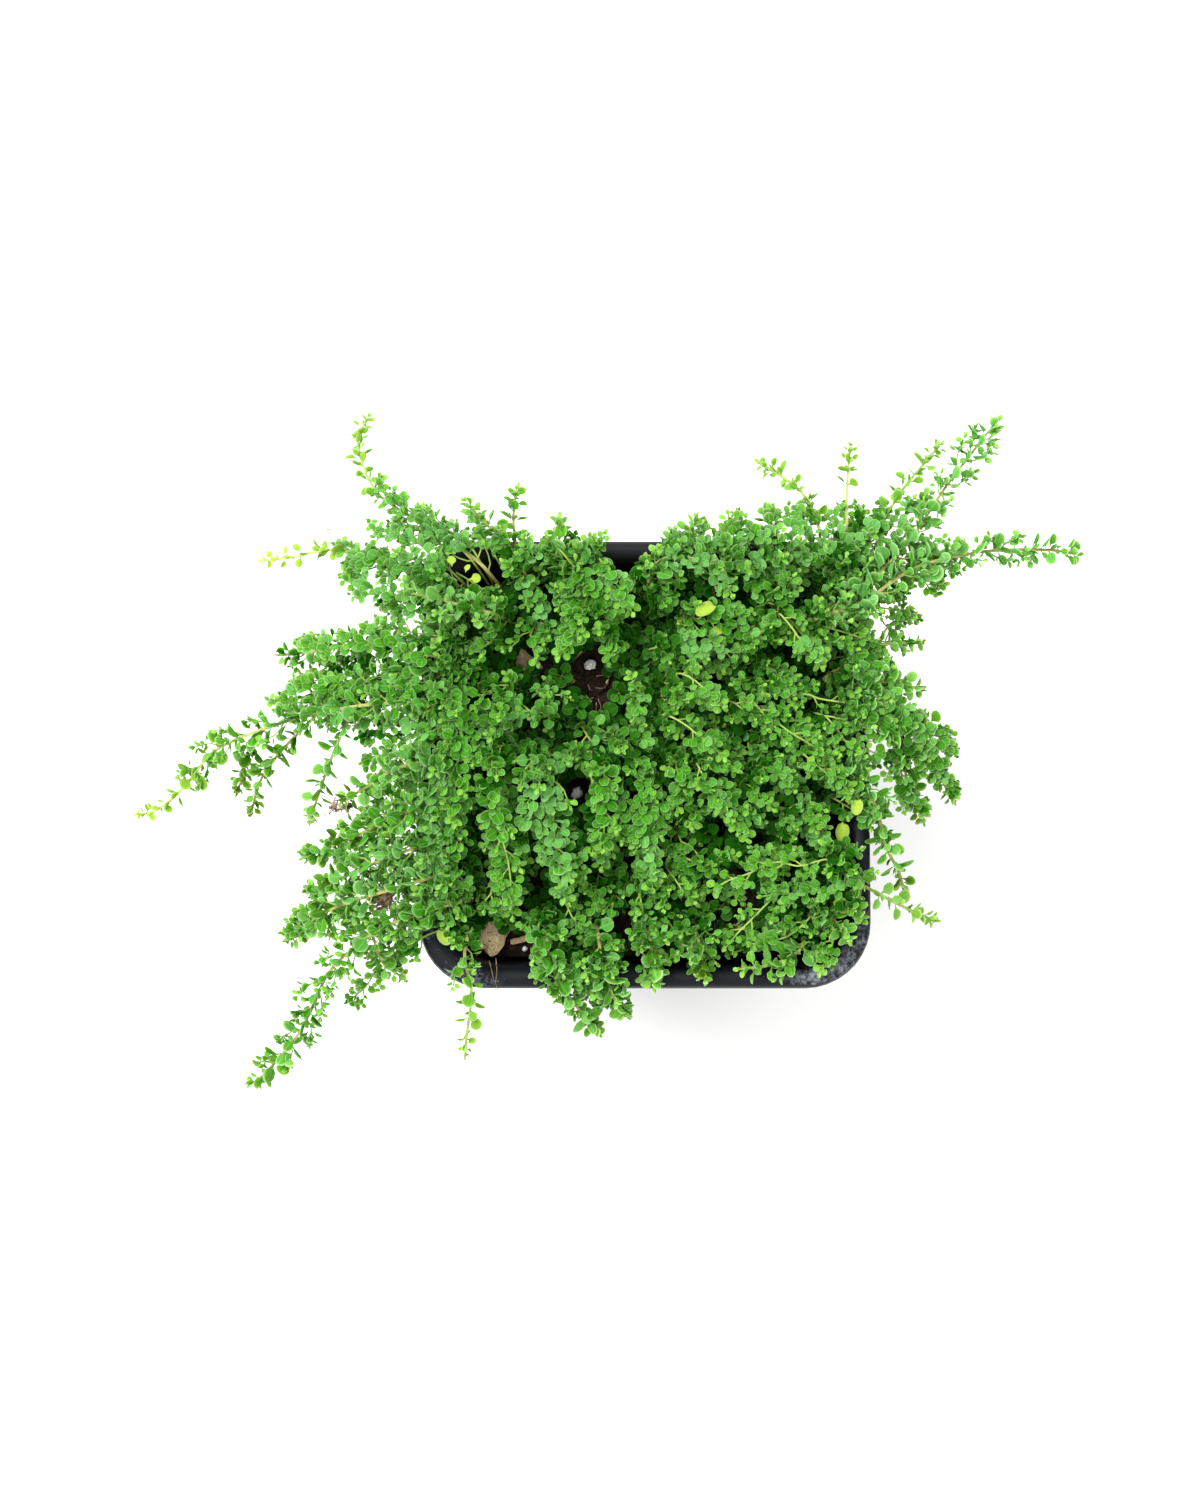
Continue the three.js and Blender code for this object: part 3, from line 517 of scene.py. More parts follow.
def tube(line, first, last, sides):
    """The points and faces of a stem that goes from one radius to the other."""
    rings = []
    for i in range(len(line)):
        _, left, over = axes_at(line, i)
        radius = first + (last - first) * i / (len(line) - 1)
        turn = np.linspace(0, 2 * np.pi, sides, endpoint=False)[:, None] + np.pi / 4
        rings.append(line[i] + radius * (np.cos(turn) * left + np.sin(turn) * over))
    points = np.concatenate(rings)
    faces = [
        [a + j, a + (j + 1) % sides, a + (j + 1) % sides + sides, a + j + sides]
        for a in range(0, (len(line) - 1) * sides, sides)
        for j in range(sides)
    ]
    top = len(points) - sides
    return points, faces + [list(range(sides))[::-1], [top + j for j in range(sides)]]


# A dead root is a matt brown thread, paler where it has dried right through.
DRY_LENGTH = 2
dead_root, shader = start_material("dried_root", Roughness=0.9, IOR=1.4)
place = add_node(dead_root, "ShaderNodeTexCoord")
drying = add_node(dead_root, "ShaderNodeTexNoise", [("Vector", place, "Object")],
                  [("Scale", 1 / (DRY_LENGTH * MM)), ("Detail", 3)])
root_tones = add_node(dead_root, "ShaderNodeValToRGB", [("Fac", drying, "Fac")])
root_tones.color_ramp.elements[0].position, root_tones.color_ramp.elements[0].color = 0.35, linear(DAMP_ROOT)
root_tones.color_ramp.elements[1].position, root_tones.color_ramp.elements[1].color = 0.7, linear(DRY_ROOT)
link(dead_root, root_tones, "Color", shader, "Base Color")

root_points, root_faces = [], []


def add_root(points, faces):
    first = sum(len(part) for part in root_points)
    root_points.append(points)
    root_faces.extend([[i + first for i in face] for face in faces])


for corners in ROOTLETS:
    add_root(*tube(smooth_line(corners, 0.8), ROOT_RADIUS, ROOT_TIP_RADIUS, 3))
for middle, reach, threads, grains in ROOT_CLOTS:
    for _ in range(threads):
        start = np.array(middle) + chance.normal(0, 0.45, 3) * reach
        bend = start + chance.normal(0, 1.1, 3) * (1, 1, 0.3)
        end = bend + chance.normal(0, 1.2, 3) * (1, 1, 0.3)
        add_root(*tube(smooth_line([start, bend, end], 0.7), ROOT_RADIUS, CLOT_TIP_RADIUS, 3))
    if grains:
        spots = np.array(middle) + chance.normal(0, 0.4, (grains, 3)) * reach
        turns, sizes = turned(grains), chance.uniform(0.6, 1.6, (grains, 3))
        add_root(*stamped(crumb_points, crumb_faces, spots, turns, sizes))
dead_roots = new_mesh("dead_roots", np.concatenate(root_points), root_faces)
finish_piece(dead_roots, "dead_roots", [dead_root])

# ---- The thyme ----
# Creeping thyme roots along its thread-thin, square stems, which turn woody with age. Their leaves stand in
# opposite pairs, with tufts of small new ones in their axils, and each shoot ends in a bright rosette.

# From root to tip, seen from above: the height at the crest and at the tip, the leaves' scale and the route,
# then the side shoots with the height of their tips. All lengths are in mm.
SPRAYS = {
    # over the left side
    "left_upper": (92, 74, 1, [(-36, 27), (-50, 27.5), (-61, 26.7), (-72, 26), (-83, 26)],
        (73, [(-61, 26.7), (-70, 22), (-80, 20.4)])),
    "left_middle": (93, 78, 1, [(-36, 20.5), (-54, 19.3), (-68, 16.5), (-83, 14.5)]),
    "left_long": (94, 73, 1, [(-38, 11.5), (-56, 12.5), (-72, 10.5), (-85, 7), (-96, 2.5), (-103, -4.9),
        (-109.6, -9.6), (-115.3, -10.4)],
        (76, [(-85, 7), (-89, 1), (-92, -5)]),
        (76, [(-72, 10.5), (-80.5, 3), (-86, -3), (-88.9, -9.6)]),
        (79, [(-64, 11.5), (-69.5, 1), (-72.7, -6.2), (-75.3, -12)])),
    "left_short": (94, 86, 1.1, [(-37, 1.5), (-54, -1.8), (-61, -5.5), (-67, -8.4)]),
    "left_low": (93, 80, 1.1, [(-37, -7), (-54, -12), (-64, -16.5), (-76, -20.4)]),
    "left_low_second": (93, 78, 1.05, [(-37, -15.5), (-55, -21), (-65.6, -25.1), (-75.3, -28.2)]),
    "left_low_third": (93, 76, 1.05, [(-37, -23), (-57, -29), (-70, -33), (-80, -39)]),
    "front_left_long": (93, 76, 1, [(-36, -30), (-50, -34), (-60, -38.5), (-69, -46), (-73, -53.5),
        (-77, -60.5), (-83.8, -68), (-87.8, -71.1)],
        (82, [(-60, -38.5), (-58, -44.5), (-54, -47.5)])),
    # over the back left corner
    "back_left_pale": (93, 82, 0.8, [(-35, 33), (-46, 40.5), (-58, 44.5), (-70, 47.6), (-79, 46.6),
        (-86.7, 46.4)]),
    "back_left_long": (94, 91, 0.9, [(-31, 38.5), (-38, 45), (-46, 51), (-54.2, 55.6), (-59.8, 60),
        (-63.3, 67.1), (-63.8, 73.3), (-62, 77.3)]),
    "back_left_upright": (94, 98, 0.9, [(-25, 37), (-28.5, 47), (-29.2, 54), (-28.4, 59.3)],
        (96, [(-28.5, 47), (-35, 52), (-39.5, 57)])),
    "back_left_inner": (98, 95, 1.1, [(-28, 31), (-38, 33), (-46, 35.5), (-53, 37)]),
    # over the back
    "back_middle_left": (95, 97, 1.15, [(-15, 33), (-17.5, 41), (-19, 48), (-19, 53)]),
    "back_middle": (95, 96, 1.1, [(-2, 36), (3, 43), (8, 48), (11, 53)]),
    "back_right_inner": (95, 95, 1.1, [(14, 35), (17, 42), (19, 48), (18.5, 54)]),
    "back_right": (94, 92, 1.1, [(24, 37), (27, 45), (28, 51), (27, 56)]),
    "back_right_pale": (93, 88, 0.75, [(31, 37), (39, 48), (36.5, 58), (31, 63.8), (26, 67.3)]),
    "back_right_upright": (92, 90, 0.75, [(36, 36.5), (44.4, 47), (45, 58), (45.4, 65), (46, 70.7)]),
    "back_right_corner": (93, 92, 0.85, [(38, 31), (50, 45.5), (53, 53), (57, 60), (61.6, 65.8),
        (65.8, 70.7)]),
    "back_right_long": (96, 95, 1, [(37, 25), (49, 38.5), (57, 46.5), (62, 53.5), (67, 61), (72, 67.5),
        (76.2, 72.9), (78.2, 75.3)]),
    # over the right side
    "right_long": (98, 91, 1, [(33, 29.5), (48, 34.5), (59.3, 42), (72, 45.5), (80.2, 46.6), (90, 46.9),
        (96.2, 46.4)]),
    "right_small": (92, 86, 0.9, [(39, 18.5), (51, 25.5), (61.6, 27.1)],
        (88, [(51, 25.5), (55, 31), (60.2, 32.6)])),
    "right_branched": (93, 78, 1.05, [(38, 10.5), (50.7, 9.4), (57.6, 4.2), (64.4, -0.7), (69.3, -7.3)],
        (77, [(57.6, 4.2), (58.6, -4), (62.7, -11.8)]),
        (82, [(50.7, 9.4), (60, 10.4), (68.9, 6)])),
    "right_back": (93, 88, 1.05, [(41, 14.5), (48, 17), (54.5, 17.5), (61, 16.5)]),
    "right_low": (92, 81, 1, [(38, 3), (48, -5), (51.5, -11.5), (53.1, -18.2), (56.4, -24), (57.6, -27.1)]),
    "right_front_pale": (92, 85, 0.75, [(37, -20), (47, -27), (56.5, -32), (64, -35)]),
    # over the front
    "front_left_pale": (94, 84, 0.8, [(-38.5, -34.5), (-39.5, -44), (-38, -51), (-39.3, -61.1),
        (-39.8, -64.9)]),
    "front_left": (93, 84, 1.1, [(-22, -33), (-21, -44), (-17.5, -51), (-13.5, -56), (-11, -59.6)]),
    "front_middle": (92, 87, 1.1, [(-11, -34), (-9.5, -44), (-7, -52), (-4.5, -55.5)]),
    "front_middle_right": (91, 91, 1.15, [(0, -33), (1.5, -42), (2, -49.6)]),
    "front_right_inner": (92, 92, 1.15, [(10, -33), (12, -41), (13, -48)]),
    "front_right_along": (90, 92, 1.05, [(37, -35), (34, -42), (28, -45), (21, -46)]),
    "front_right_corner": (89, 92, 1, [(37, -27), (41.5, -34.5), (44.5, -39.5)]),
    "front_right_low": (87, 89, 1.05, [(18, -35.5), (27, -38.5), (34, -36.5)]),
    # on the mat, around the bare middle
    "mat_back_left": (92, 92, 1.1, [(-22.5, 34.5), (-25.5, 28), (-24, 22)]),
    "mat_back": (95, 96, 1.15, [(-9, 39), (-16.5, 33), (-16.5, 25.5)]),
    "mat_back_middle": (94, 94, 1.1, [(-3.5, 31), (-7.8, 27.5), (-8, 22)]),
    "mat_back_right": (93, 94, 1.15, [(4, 33), (16, 30.5), (23, 29), (30, 27.1)]),
    "mat_right_upper": (94, 96, 1.1, [(21, 35), (29, 34.5), (34.5, 28), (39, 21.5)]),
    "mat_right_inner": (88, 88, 1.2, [(-1, 25), (8, 24), (19, 21.6)]),
    "mat_right_middle": (92, 93, 1.15, [(0, 18.5), (9, 16.5), (17, 12.3)]),
    "mat_right_trail": (92, 94, 1.15, [(18, 15.5), (29, 9), (38, 1.5), (45, -6.5)]),
    "mat_right_edge": (91, 90, 1.1, [(22, 20), (31, 16.5), (37, 15.5)]),
    "mat_right_low": (87, 87, 1.15, [(19, 8), (27.3, 2.4), (34, -7)]),
    "mat_front_right_upper": (88, 87, 1.15, [(-4, 13), (5, 10.5), (13, 6), (21, -2)]),
    "mat_front_right": (92, 91, 1.15, [(7, 2), (14, -4), (19.5, -10), (22.5, -17)]),
    "mat_front_upper": (93, 92, 1.15, [(-10, 8), (-3, 3), (0, -5)]),
    "mat_front": (88, 88, 1.25, [(-15, 10), (-10, 1), (-9.3, -11), (-9.6, -23)]),
    "mat_front_low": (92, 92, 1.2, [(-2.5, -9), (0, -18), (1.5, -28)]),
    "mat_front_left": (89, 89, 1.2, [(-26, 8.5), (-30.5, -1), (-31.5, -12), (-30.8, -23), (-29.3, -34)]),
    "mat_front_left_low": (93, 93, 1.2, [(-21.5, 4), (-20.5, -8), (-19.5, -20), (-17, -31)]),
    "mat_right_front": (90, 91, 1.15, [(26, -8), (34, -12), (40, -19)],
        (88, [(30, -10), (30, -18.5), (27.5, -28)])),
    "mat_left": (94, 95, 1.2, [(-32, 19), (-39.5, 9), (-41.5, -3), (-42, -14)]),
    "mat_front_middle": (87, 87, 1.2, [(6, -11), (9, -21), (11.5, -31)],
        (88, [(9, -21), (16, -24.5), (21, -31)])),
}
# How a spray hangs over the rim: the share of its length from which its leaves get smaller, how pale it is
# there, its stem's age at the tip, its leaves' scale at the tip, and between which shares it is bare
HABITS = {
    "left_upper": (0.9, 0, 0.3, 0.9, (0, 0)),
    "left_middle": (0.9, 0, 0.3, 0.9, (0, 0)),
    "left_long": (0.8, 0.6, 0.25, 0.5, (0, 0)),
    "front_left_long": (0.9, 0.1, 0.5, 0.9, (0, 0)),
    "back_left_pale": (0.6, 0.8, 0, 0.6, (0, 0)),
    "back_left_long": (0.6, 0.4, 0, 0.75, (0.12, 0.3)),
    "back_left_upright": (0.7, 0, 0.4, 0.95, (0, 0)),
    "back_right_pale": (0.3, 0.3, 0, 0.95, (0.1, 0.3)),
    "back_right_upright": (0.3, 0.4, 0, 0.8, (0.55, 0.8)),
    "back_right_corner": (0.4, 0.3, 0, 0.95, (0.2, 0.4)),
    "back_right_long": (1, 0, 0.5, 0.95, (0, 0)),
    "right_long": (0.85, 0, 0.7, 0.95, (0, 0)),
    "right_small": (0.3, 0.2, 0.2, 0.8, (0.2, 0.6)),
    "right_low": (0.6, 0.1, 0.4, 0.95, (0, 0)),
    "right_front_pale": (0.3, 0.3, 0, 0.95, (0, 0.3)),
    "front_left_pale": (0.6, 0.4, 0, 0.6, (0, 0.1)),
}
USUAL_HABIT = (0.75, 0.1, 0.12, 0.9, (0, 0))
SIDE_HABIT = (0.1, 0.15, 0.12, 0.9, (0, 0))
MAT_HABIT = (1, 0, 0.12, 1, (0, 0))
# A stem starts deep in the soil, comes up straight and turns out a little under its crest. DROOP is how late
# it bends down towards its tip.
BURIED = 6
UPRIGHT = 3
TURN_OUT = 5
SETTLE = 1.5
DROOP = 1.6
STEM_STEP = 1
# How far out the stems are rooted, and where the pot's wall and lip start and end
ROOTED_WITHIN = 40
INSIDE_WALL = 42
OUTSIDE_LIP = 50.6
STRAIGHT_SIDE = 33


def pot_reach(p):
    """How far out a place lies towards the pot's wall, which has round corners."""
    return STRAIGHT_SIDE + np.hypot(*np.maximum(np.abs(p[:2]) - STRAIGHT_SIDE, 0))


def main_stem(crest, tip, route):
    """Straight out of the soil, up to the crest, then along the route as it sinks or rises to the tip."""
    root, onward = np.array(route[0]), np.array(route[1])
    root = root * min(1, ROOTED_WITHIN / pot_reach(root))
    ground = soil_height(*root)
    out = root + (onward - root) / np.linalg.norm(onward - root) * TURN_OUT
    corners = [(*root, ground - BURIED), (*root, ground + UPRIGHT), (*out, crest - SETTLE)]
    for i, (x, y) in enumerate(route[1:]):
        share = (i / max(1, len(route) - 2)) ** DROOP
        corners.append((x, y, crest + (tip - crest) * share))
    return smooth_line(corners, STEM_STEP)


def side_stem(parent, tip, route):
    """Leaves the parent's line where the route starts, and ends at its own tip."""
    start = parent[np.argmin(np.hypot(*(parent[:, :2] - route[0]).T))]
    corners = [start]
    for i, (x, y) in enumerate(route[1:]):
        share = (i + 1) / (len(route) - 1)
        corners.append((x, y, start[2] + 1 + (tip - start[2] - 1) * share))
    return smooth_line(corners, STEM_STEP)


UNDERSIDE = 0.07


def leaf_shape(rim, width, cup, fold, nod, stalk):
    """A leaf 1 mm long, closed on its underside, with its foot drawn out into a short stalk. rim counts its
    corners. It is cupped, folded along its midrib, and nods down towards its tip."""
    deselect()
    bpy.ops.mesh.primitive_circle_add(vertices=rim, radius=0.5 * MM, fill_type="NGON",
                                      rotation=(0, 0, math.pi / 2))
    leaf = bpy.context.object
    bpy.ops.object.transform_apply(rotation=True)
    bpy.ops.object.mode_set(mode="EDIT")
    if rim > 8:
        bpy.ops.mesh.inset(thickness=0.15 * MM)
    bpy.ops.mesh.poke()
    bpy.ops.mesh.select_all(action="SELECT")
    bpy.ops.mesh.region_to_loop()
    bpy.ops.mesh.edge_face_add()
    bpy.ops.mesh.poke()
    bpy.ops.mesh.select_all(action="SELECT")
    bpy.ops.mesh.normals_make_consistent(inside=False)
    bpy.ops.object.mode_set(mode="OBJECT")
    points, faces = keep_shape(leaf)
    under = np.arange(len(points)) == len(points) - 1
    reach = np.hypot(points[:, 0], points[:, 1]) * 2
    along = points[:, 0] + 0.5
    foot = np.isclose(reach, 1, atol=0.01) & (along < 0.02)
    beside_foot = np.isclose(reach, 1, atol=0.01) & (along < 0.6 * (1 - math.cos(2 * math.pi / rim))) & ~foot
    lift = cup * reach**2 + fold * np.abs(points[:, 1])
    points[:, 2] = lift - nod * along**2 - np.where(under, UNDERSIDE, 0)
    points[:, 1] *= np.where(beside_foot, 0.4 * width, width)
    points[:, 0] = np.where(foot, 0, stalk + along * (1 - stalk))
    points[:, 2] = np.where(foot | beside_foot, 0, points[:, 2])
    margin = np.where(foot | beside_foot | under, 0.5, reach)
    blade = np.stack([along, points[:, 1], 0 * along], axis=1)
    return points, faces, margin, blade


# The leaf is modelled five times: narrow and folded in the bud, oval when half grown, nearly round when it is
# grown, slender where a spray hangs, and broad and hollow when it has yellowed.
LEAF_SHAPES = [
    leaf_shape(8, 0.56, 0.02, 0.34, -0.1, 0.12),
    leaf_shape(10, 0.68, 0.07, 0.1, 0.14, 0.16),
    leaf_shape(10, 0.78, 0.05, 0.05, 0.18, 0.18),
    leaf_shape(10, 0.55, 0.03, 0.14, 0.16, 0.26),
    leaf_shape(16, 0.74, 0.12, 0.06, 0.16, 0.04),
]
BUD, HALF_GROWN, GROWN, SLENDER, BROAD = range(5)
LEAF_CREASE = 50
STEM_SIDES = 4
# How far a stem sinks under its own leaves: over the pot, past its rim, and on the mat
SUNK_OVER_POT = 1.1
SUNK_PAST_RIM = 0.45
SUNK_ON_MAT = 0.5
# From how far under the highest leaf in its own square of the mat a leaf is painted dark, as painted shade,
# and over which depth
SHADE_CELL = 4
SHADE_START = 0.2
SHADE_DEPTH = 2.2


class Spray:
    """Gathers stems and leaves, and then makes them one mesh. growth holds each point's age, raised as
    painted shade on leaves deep in the mat, its tone from green to bluish, how near the leaf's margin it is,
    and how pale it is. blade is its place on the leaf."""

    def __init__(self, hanging):
        self.points, self.faces, self.slots, self.growth, self.blades = [], [], [], [], []
        self.count = 0
        self.leaves = {shape: [] for shape in range(len(LEAF_SHAPES))}
        self.hanging = hanging
        self.tone = 0.5

    def add(self, points, faces, slot, growth, blade):
        self.faces += [[i + self.count for i in face] for face in faces]
        self.slots += [slot] * len(faces)
        self.points.append(points)
        self.growth.append(growth)
        self.blades.append(blade)
        self.count += len(points)

    def add_stem(self, line, first, last, ages, pale=0):
        """A stem from one radius to the other, with its ages at even steps and its paleness at the tip."""
        line = even_line(line, 2 * STEM_STEP)
        over_pot = np.abs(line[:, :2]).max(axis=1) < OUTSIDE_LIP
        line[:, 2] -= np.where(over_pot, SUNK_OVER_POT, SUNK_PAST_RIM) if self.hanging else SUNK_ON_MAT
        points, faces = tube(line, first, last, STEM_SIDES)
        share = np.linspace(0, 1, len(points) // STEM_SIDES).repeat(STEM_SIDES)
        age = np.interp(share, np.linspace(0, 1, len(ages)), ages)
        growth = np.stack([age, age * 0, age * 0, pale * share], axis=1)
        self.add(points, faces, 1, growth, np.zeros((len(points), 3)))

    def add_leaf(self, shape, foot, turn, size, age, pale):
        tone = np.clip(self.tone + chance.normal(0, 0.2), 0, 1)
        self.leaves[shape].append((foot, turn, size, age, tone, pale))

    def shade(self):
        """Painted shade: leaves well under the top of the leaves around them get a higher age, which paints
        them dark, and lose their bluish tone.
        """
        feet = np.array([leaf[0] for leaves in self.leaves.values() for leaf in leaves])
        cells = np.round(feet[:, :2] / SHADE_CELL).astype(int)
        tops = {}
        for cell, height in zip(map(tuple, cells), feet[:, 2]):
            tops[cell] = max(tops.get(cell, 0), height)
        for leaves in self.leaves.values():
            for i, (foot, turn, size, age, tone, pale) in enumerate(leaves):
                cell = tuple(np.round(foot[:2] / SHADE_CELL).astype(int))
                depth = (tops[cell] - foot[2] - SHADE_START) / SHADE_DEPTH
                # Painted shade: the leaf is painted darker and less bluish the deeper it lies
                if depth > 0:
                    age = max(age, min(1, 0.5 + 0.5 * depth))
                    tone *= max(0, 1 - 1.5 * depth)
                leaves[i] = (foot, turn, size, age, tone, pale)

    def mesh(self, name):
        for shape, leaves in self.leaves.items():
            if not leaves:
                continue
            points, faces, margin, blade = LEAF_SHAPES[shape]
            feet, turns, sizes, ages, tones, pales = (np.array(column) for column in zip(*leaves))
            all_points, all_faces = stamped(points, faces, feet, turns, sizes)
            growth = np.stack([
                ages.repeat(len(points)), tones.repeat(len(points)),
                np.tile(margin, len(leaves)), pales.repeat(len(points)),
            ], axis=1)
            self.add(all_points, all_faces, 0, growth, np.tile(blade, (len(leaves), 1)))
        made = new_mesh(name, np.concatenate(self.points), self.faces)
        made.data.polygons.foreach_set("material_index", self.slots)
        growth = made.data.attributes.new("growth", "FLOAT_COLOR", "POINT")
        growth.data.foreach_set("color", np.concatenate(self.growth).ravel())
        blade = made.data.attributes.new("blade", "FLOAT_VECTOR", "POINT")
        blade.data.foreach_set("vector", np.concatenate(self.blades).ravel())
        deselect()
        made.select_set(True)
        bpy.context.view_layer.objects.active = made
        bpy.ops.object.shade_smooth_by_angle(angle=math.radians(LEAF_CREASE))
        return made


# Leaves keep clear of the pot's lip and of the soil, and leave open the places where soil or the pot's wall
# shows: a middle and a half width along each axis. The dim hollows only have no low leaves.
OPEN_PLACES = [(-12.6, 22, 3.4, 4), (-11, 16.5, 3.2, 4), (-38, 42.5, 6.6, 4.6), (-46.5, -41.5, 3.6, 5),
               (-29.5, -41.5, 4.6, 4.5), (-33.5, -39.5, 2.4, 3.4), (-15.2, -6, 3.8, 3.5),
               (-57.5, -30.5, 1.8, 3), (-27, 23.8, 2.6, 2.2)]
DIM_HOLLOWS = [(-26, 27, 3.5, 3.8), (39, 38, 5, 3.8), (41, 18.5, 4, 3.4), (25, 15, 3.4, 2),
               (-35.5, -11.5, 2.2, 5), (-22, -25, 3, 5), (-39, -22, 2, 3), (-14.5, -5, 4.6, 4),
               (-14, -24, 2, 2), (20, -32, 4, 2.6), (-36.5, -39, 6, 3.6), (-26, -42, 3, 3), (44, -41, 4, 3),
               (-4.5, -36.5, 4, 3.6), (10, -7, 1.8, 2.6), (45, -18, 3, 6)]
OVER_LIP = 0.8
OVER_SOIL = 0.6


def within(p, places):
    return any(((p[0] - x) / half_x) ** 2 + ((p[1] - y) / half_y) ** 2 < 1 for x, y, half_x, half_y in places)


def has_room(p):
    """True where a leaf's middle may lie, in mm."""
    reach = pot_reach(p)
    if INSIDE_WALL < reach < OUTSIDE_LIP and p[2] < POT_HEIGHT + OVER_LIP:
        return False
    if reach <= INSIDE_WALL and p[2] < soil_height(p[0], p[1]) + OVER_SOIL:
        return False
    return not within(p, OPEN_PLACES)


# How much a leaf's face keeps to its stem, turns up to the light and strays, where it hangs and on the mat
HANGING_FACE = (0.55, 0.35, 0.45)
MAT_FACE = (0.25, 1, 0.36)
LEAF_SPREAD = 0.12
BUD_UNTIL = 0.16
HALF_GROWN_UNTIL = 0.55
SLENDER_SHARE = 0.6


def grow_leaf(spray, line, i, roll, lean, size, age, pale=0.0):
    """One leaf on a stem, rolled up from level, leaning away from the stem and twisted to face the light."""
    ahead, left, over = axes_at(line, i)
    out = left * math.cos(roll) + over * math.sin(roll)
    along = unit(out * math.sin(lean) + ahead * math.cos(lean) + UP * chance.normal(0, LEAF_SPREAD))
    inward, turn_up, stray = HANGING_FACE if spray.hanging else MAT_FACE
    towards_tip = ahead * math.sin(lean) - out * math.cos(lean)
    face = inward * towards_tip + turn_up * UP + chance.normal(0, stray, 3)
    face = unit(face - face.dot(along) * along)
    across = np.cross(face, along)
    if not has_room(line[i] + along * size * 0.6):
        return
    shape = BUD if age < BUD_UNTIL else HALF_GROWN if age < HALF_GROWN_UNTIL else GROWN
    if spray.hanging and shape != BUD and chance.random() < SLENDER_SHARE:
        shape = SLENDER
    spray.add_leaf(shape, line[i], np.stack([along, across, face], axis=1),
                   np.array([size, size * chance.uniform(0.88, 1.16), size]), age, pale)


# A rosette's pairs from the inside out: the leaves' length, their lean in degrees and their age
ROSETTE = [(1.2, 18, 0), (1.7, 36, 0.08), (2.2, 54, 0.18), (2.6, 66, 0.34)]


def grow_tip(spray, line, scale, pale=0.0):
    """The rosette: pairs of folded leaves, each pair larger and further open than the one inside it."""
    last = len(line) - 1
    for pair, (size, lean, age) in enumerate(ROSETTE):
        roll = math.radians(90 * (pair % 2) + chance.normal(0, 10))
        for way in (roll, roll + math.pi):
            grow_leaf(spray, line, max(0, last - round(0.5 * pair)), way,
                      math.radians(lean + chance.normal(0, 7)),
                      size * scale * chance.uniform(0.9, 1.1), age, pale)


# How many degrees a leaf leans from its stem's way: to the side, over the stem, under it, over it on the mat,
# and in a tuft
TO_SIDE, OVER_STEM, UNDER_STEM, ON_MAT, IN_TUFT = 67, 32, 52, 34, 42
# How far behind the tip the first pair stands, a young leaf's length and what it gains, how far behind the
# tip it is grown and from where it has tufts, their turn to each side, and the share of leaves that dropped
FIRST_PAIR = 1.6
YOUNG_LENGTH = 2.0
LENGTH_GAIN = 0.8
GROWN_AT = 7
TUFT_FROM = 4
TUFT_TURN = 0.6
DROPPED = 0.04


def grow_pairs(spray, line, scale, spacing, tufts, habit, from_root=4):
    """Pairs back from the rosette, each across the last, with tufts of new leaves in their axils. On the mat
    many leaves lie over the stem."""
    sparse_from, pale, _, tip_scale, bare = habit
    length = len(line) - 1
    back, pair = FIRST_PAIR, 0
    while back < length - from_root:
        i = length - round(back)
        share = i / length
        sparse = share > sparse_from
        pale_here = pale * min(1, max(0, (share - 0.8 * sparse_from) / (1 - 0.8 * sparse_from)))
        grown = min(0.8, 0.3 + back / 16)
        size = (YOUNG_LENGTH + LENGTH_GAIN * min(1, back / GROWN_AT)) * scale * chance.uniform(0.8, 1.2)
        if sparse:
            size *= tip_scale + (1 - tip_scale) * (1 - share) / (1 - sparse_from)
        upper = math.pi / 2 + chance.normal(0, 0.55)
        side = math.radians(chance.normal(16, 12))
        to_sides = [(side, TO_SIDE), (math.pi - side, TO_SIDE)] if pair % 2 else []
        if spray.hanging and share > min(0.55, sparse_from):
            ways = to_sides or [(upper, OVER_STEM), (upper + math.pi, UNDER_STEM)]
        else:
            ways = to_sides + [(upper, ON_MAT)]
        for way, lean in ways:
            if bare[0] < share < bare[1] or chance.random() < DROPPED:
                continue
            grow_leaf(spray, line, i, way, math.radians(chance.normal(lean, 9)), size,
                      grown * chance.uniform(0.8, 1), pale_here)
            if back > TUFT_FROM and chance.random() < (tip_scale - 0.4 if sparse else tufts):
                for turn in (-TUFT_TURN, TUFT_TURN):
                    grow_leaf(spray, line, i, way + turn, math.radians(chance.normal(IN_TUFT, 10)),
                              chance.uniform(1.2, 2) * scale, chance.uniform(0.1, 0.5), pale_here)
        back += spacing * min(1, 0.55 + back / 14) * chance.uniform(0.85, 1.15)
        pair += 1


FIRST_SHOOT = 5.0
LAST_SHOOT = 8


def grow_shoots(spray, line, scale, every, longest, dip, sparse_from=1.0):
    """Short leafy shoots, by turns on both sides and longer towards the root, that bend on along the stem."""
    length = len(line) - 1
    back, side = FIRST_SHOOT, 1 if chance.random() < 0.5 else -1
    while back < length - LAST_SHOOT:
        i = length - round(back)
        ahead, left, over = axes_at(line, i)
        reach = min(longest, 2.4 + 0.3 * back) * chance.uniform(0.7, 1.15)
        away = unit(ahead * 0.75 + left * side * chance.uniform(0.6, 1) + UP * chance.uniform(-dip, 0.35))
        onward = unit(ahead + left * side * 0.25 + UP * chance.uniform(-dip, 0.25))
        corners = [line[i], line[i] + away * reach * 0.45,
                   line[i] + away * reach * 0.5 + onward * reach * 0.6]
        shoot = smooth_line(corners, STEM_STEP)
        if has_room(shoot[-1]) and i / length < sparse_from:
            spray.add_stem(shoot, 0.24, 0.16, (0.15, 0))
            grow_tip(spray, shoot, scale * 0.9)
            grow_pairs(spray, shoot, scale * 0.9, spacing=2, tufts=0.1, habit=MAT_HABIT, from_root=1)
        back += every * chance.uniform(0.75, 1.25)
        side = -side


